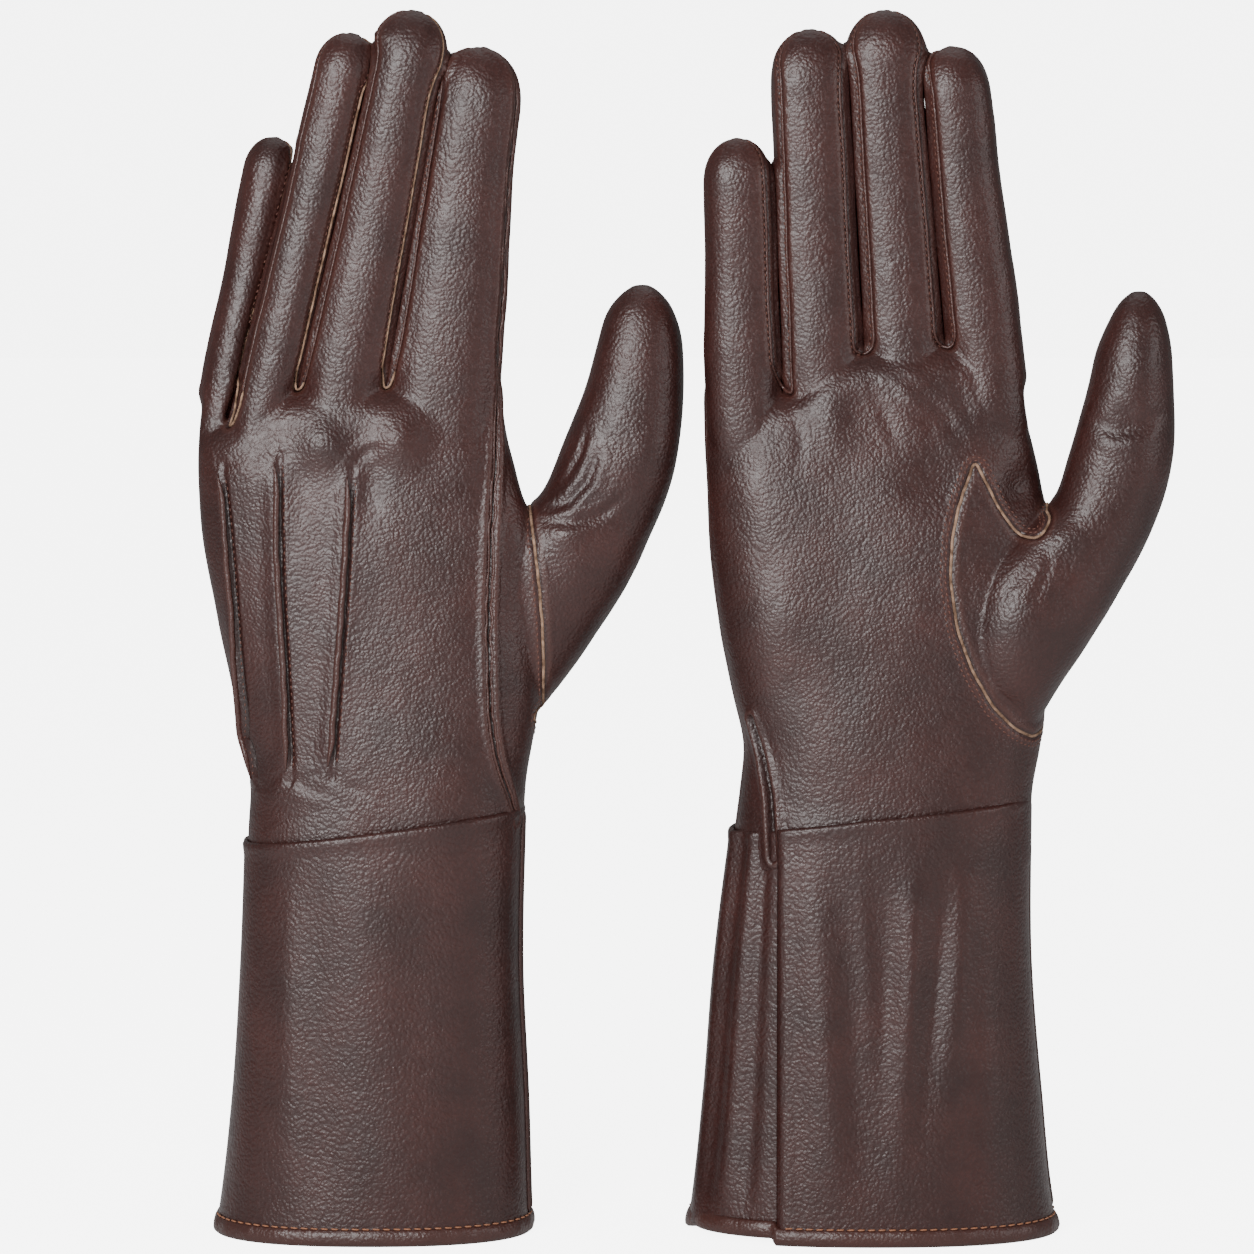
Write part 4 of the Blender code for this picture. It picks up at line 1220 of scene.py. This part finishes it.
def cuffPanel(glove, angles, inward=None, extra=None):
    # outer face from just inside the hem to a rolled top edge, and a turn down inside it
    rows = []
    n = cuffSetup["rows"]
    share = np.linspace(0, 1, n)
    profile = [(v, 0.0, 0.0) for v in share] + [(1, -0.25, 0.55), (1, -0.75, 0.95), (1, -1.3, 0.9), (1, -1.7, 0.3), (1, -1.8, -1.0), (1, -1.8, -5.0)]
    for v, out, rise in profile:
        z = np.full(len(angles), 2.6 + v * 105.0)
        for _ in range(5):
            p = cuffPoint(glove, z, angles)
            z = 2.6 + v * (seamZ(glove, p[:, 0]) - 0.8 - 2.6)
        push = np.full(len(angles), out)
        push = push + 0.45 * float(hump(v - 1, 0.02)) + cuffFolds(glove, p[:, 0], angles, z)
        if inward is not None:
            push = push - inward(angles, z)
        if extra is not None:
            push = push + extra(angles, z)
        row = cuffPoint(glove, z, angles, push)
        row[:, 2] += rise
        rows.append(row)
    rows = np.array(rows)
    return rows.reshape(-1, 3), gridFaces(len(rows), len(angles))


def thickened(piece, thickness):
    shell = piece.modifiers.new("wall", "SOLIDIFY")
    shell.thickness = thickness * mm
    shell.offset = -1
    onlyThis(piece)
    bpy.ops.object.modifier_apply(modifier="wall")


def foldAngle(glove, z):
    t = glove["cuff"]
    left, right = float(smoothTable(t["z"], t["ulnar"], z)), float(smoothTable(t["z"], t["thumb"], z))
    x = glove["fold"][0] + (glove["fold"][1] - glove["fold"][0]) * z / 108
    c = (x - (left + right) / 2) / ((right - left) / 2)
    return math.acos(math.copysign(abs(c) ** (cuffSetup["squareness"] / 2), c))


def buildCuff(glove, skin):
    side = glove["name"]
    ulnarTurn = math.radians(183)
    pi2 = 2 * math.pi
    palmEnd = np.array([foldAngle(glove, z) for z in np.linspace(0, 120, 25)])

    def foldAt(z):
        return np.interp(z, np.linspace(0, 120, 25), palmEnd)

    # back panel
    shape = cuffPanel(glove, np.linspace(ulnarTurn, math.radians(358.8), 150))
    back = finishPiece(glove, "cuff_back_leather", shape, cuffLeather, "hand", ["cuff_back"])
    # palm panel: its ulnar end follows the fold, so the angles shift with height
    count = 130
    rows = []
    base = np.linspace(0, 1, count)
    points, quads = cuffPanel(glove, np.linspace(math.radians(1.2), float(foldAt(60)), count))
    grid = points.reshape(-1, count, 3)
    for r in range(len(grid)):
        z = grid[r, :, 2]
        angles = math.radians(1.2) + base * (foldAt(z) - math.radians(1.2))
        curl = -1.3 * ease(0.965, 1.0, base) ** 2
        fresh = cuffPoint(glove, z, angles, cuffFolds(glove, grid[r, :, 0], angles, z) + curl + (0.45 * hump((z - seamZ(glove, grid[r, :, 0])) / 2.2, 1) + 0.35 * hump(base - 0.955, 0.02)))
        top = r - (cuffSetup["rows"] - 1)
        if top > 0:
            fresh = fresh + (points.reshape(-1, count, 3)[r] - points.reshape(-1, count, 3)[cuffSetup["rows"] - 1]) * (1, 1, 0)
        rows.append(fresh)
    palm = finishPiece(glove, "cuff_palm_leather", (np.array(rows).reshape(-1, 3), quads), cuffLeather, "hand", ["cuff_palm"])
    # gusset, set back behind the fold, with folds of its own
    fold = float(foldAt(60))
    angles = np.linspace(fold - math.radians(7), ulnarTurn - math.radians(1.0), 90)

    def setBack(a, z):
        near = 1 - ease(foldAt(z) + 0.10, ulnarTurn - 0.05, a)
        return cuffSetup["foldStep"] * near

    def gussetFolds(a, z):
        u = (a - foldAt(z)) / (ulnarTurn - foldAt(z))
        return 0.75 * np.sin(u * 17 + 0.6 + 0.012 * z) * ease(0.02, 0.25, u) * (1 - ease(0.75, 1.0, u)) * ease(0, 20, z)

    gusset = finishPiece(glove, "cuff_gusset_leather", cuffPanel(glove, angles, setBack, gussetFolds), cuffLeather, "hand", ["cuff_gusset"])
    for piece in (back, palm, gusset):
        thickened(piece, cuffSetup["skin"] * 0.7)

    # hem: the leather turned up and sewn, rolled at the bottom
    profile = ((0.15, 4.7), (0.62, 4.3), (0.95, 3.4), (1.05, 2.4), (1.0, 1.4), (0.7, 0.55), (0.1, 0.08), (-0.8, 0.0),
               (-1.9, 0.0), (-2.5, 0.5), (-2.6, 1.6), (-2.6, 4.0), (-1.6, 4.6), (-0.6, 4.7))
    around = np.linspace(0, pi2, 361)[:-1]
    behind = ease(foldAt(2) - 0.02, foldAt(2) + 0.03, around) * (1 - ease(ulnarTurn - 0.25, ulnarTurn, around))
    rings = []
    for out, z in profile:
        wave = 0.12 * np.sin(around * 23) * (z > 1)
        rings.append(cuffPoint(glove, np.full(len(around), max(z, 0.0)), around, out + wave - 1.5 * behind))
    rings = np.array(rings)
    rings[..., 2] += 1.6 * behind
    m, n = rings.shape[:2]
    quads = []
    for i in range(m):
        for j in range(n):
            k, l = (j + 1) % n, (i + 1) % m
            quads.append((i * n + j, l * n + j, l * n + k, i * n + k))
    # the hem drawn a little lighter: rubbed wear and painted highlight
    finishPiece(glove, "cuff_hem_leather", (rings.reshape(-1, 3), np.array(quads)), cuffLeather, "hand", ["cuff_hem"],
                np.full(m * n, 0.6))
    shapes = []
    for low, high, set_ in ((0.03, float(foldAt(4)) - 0.03, 0.0), (float(foldAt(4)) + 0.04, ulnarTurn - 0.05, 1.5),
                            (ulnarTurn + 0.03, pi2 - 0.03, 0.0)):
        a = np.linspace(low, high, 160)
        path = cuffPoint(glove, np.full(len(a), 4.9), a, 0.42 - set_)
        normals = path - cuffPoint(glove, np.full(len(a), 4.9), a, -1.0)
        shapes.append(stitchesAlong(path, normals, trimSetup["hemPitch"], 2.0, 0.26, 0.05, 0.06))
    finishPiece(glove, "hem_stitches", gathered(shapes), tanThread, "hand")

    # side seam of the cuff: two rolled edges
    shapes = []
    for a, size in ((-0.16, 0.6), (-0.06, 0.7)):
        z = np.linspace(5.2, seamZ(glove, 38) - 1.0, 120)
        path = cuffPoint(glove, z, np.full(len(z), a), 0.1)
        normals = path - cuffPoint(glove, z, np.full(len(z), a), -1.0)
        shapes.append(tubeAlong(path, normals, size * 0.8, size, taper=1.5))
    # the rolled edges drawn lighter: rubbed wear and painted highlight
    finishPiece(glove, "cuff_side_rolled", gathered(shapes), cuffLeather, "hand", ["cuff_side_piping"], np.full(len(gathered(shapes)[0]), 0.62))

    # lining inside
    rows = []
    for z, inset in ((3.0, 3.4), (6, 4.4), (30, 4.8), (60, 4.8), (90, 4.6), (101, 4.4)):
        rows.append(cuffPoint(glove, np.full(96, z), np.linspace(0, pi2, 97)[:-1], -inset))
    rows = np.array(rows)
    quads = gridFaces(len(rows), 96, True)
    piece = finishPiece(glove, "cuff_lining_cloth", (rows.reshape(-1, 3), quads), lining, "hand", ["cuff_lining"])
    thickened(piece, 0.7)
    print(side, "cuff")


for glove in (leftGlove, rightGlove):
    buildCuff(glove, skins[glove["name"]])


# floor

def paleBoard():
    # matt painted board, lit up as white as the studio behind it
    made, tree, shader = newMaterial("paleBoard", {"Roughness": 0.9, "Base Color": linear("f4f4f4")})
    seen = node(tree, "ShaderNodeLightPath")
    glow = node(tree, "ShaderNodeMath", {"operation": "MULTIPLY"}, {0: seen.outputs["Is Camera Ray"], 1: lightSetup["sky"]})
    shader.inputs["Emission Color"].default_value = (1, 1, 1, 1)
    tree.links.new(glow.outputs[0], shader.inputs["Emission Strength"])
    return made


floor = addPiece("floor", quickMesh("floor", [(-4, -4, 0), (4, -4, 0), (4, 4, 0), (-4, 4, 0)], [(0, 1, 2, 3)]))
floor.data.materials.append(paleBoard())
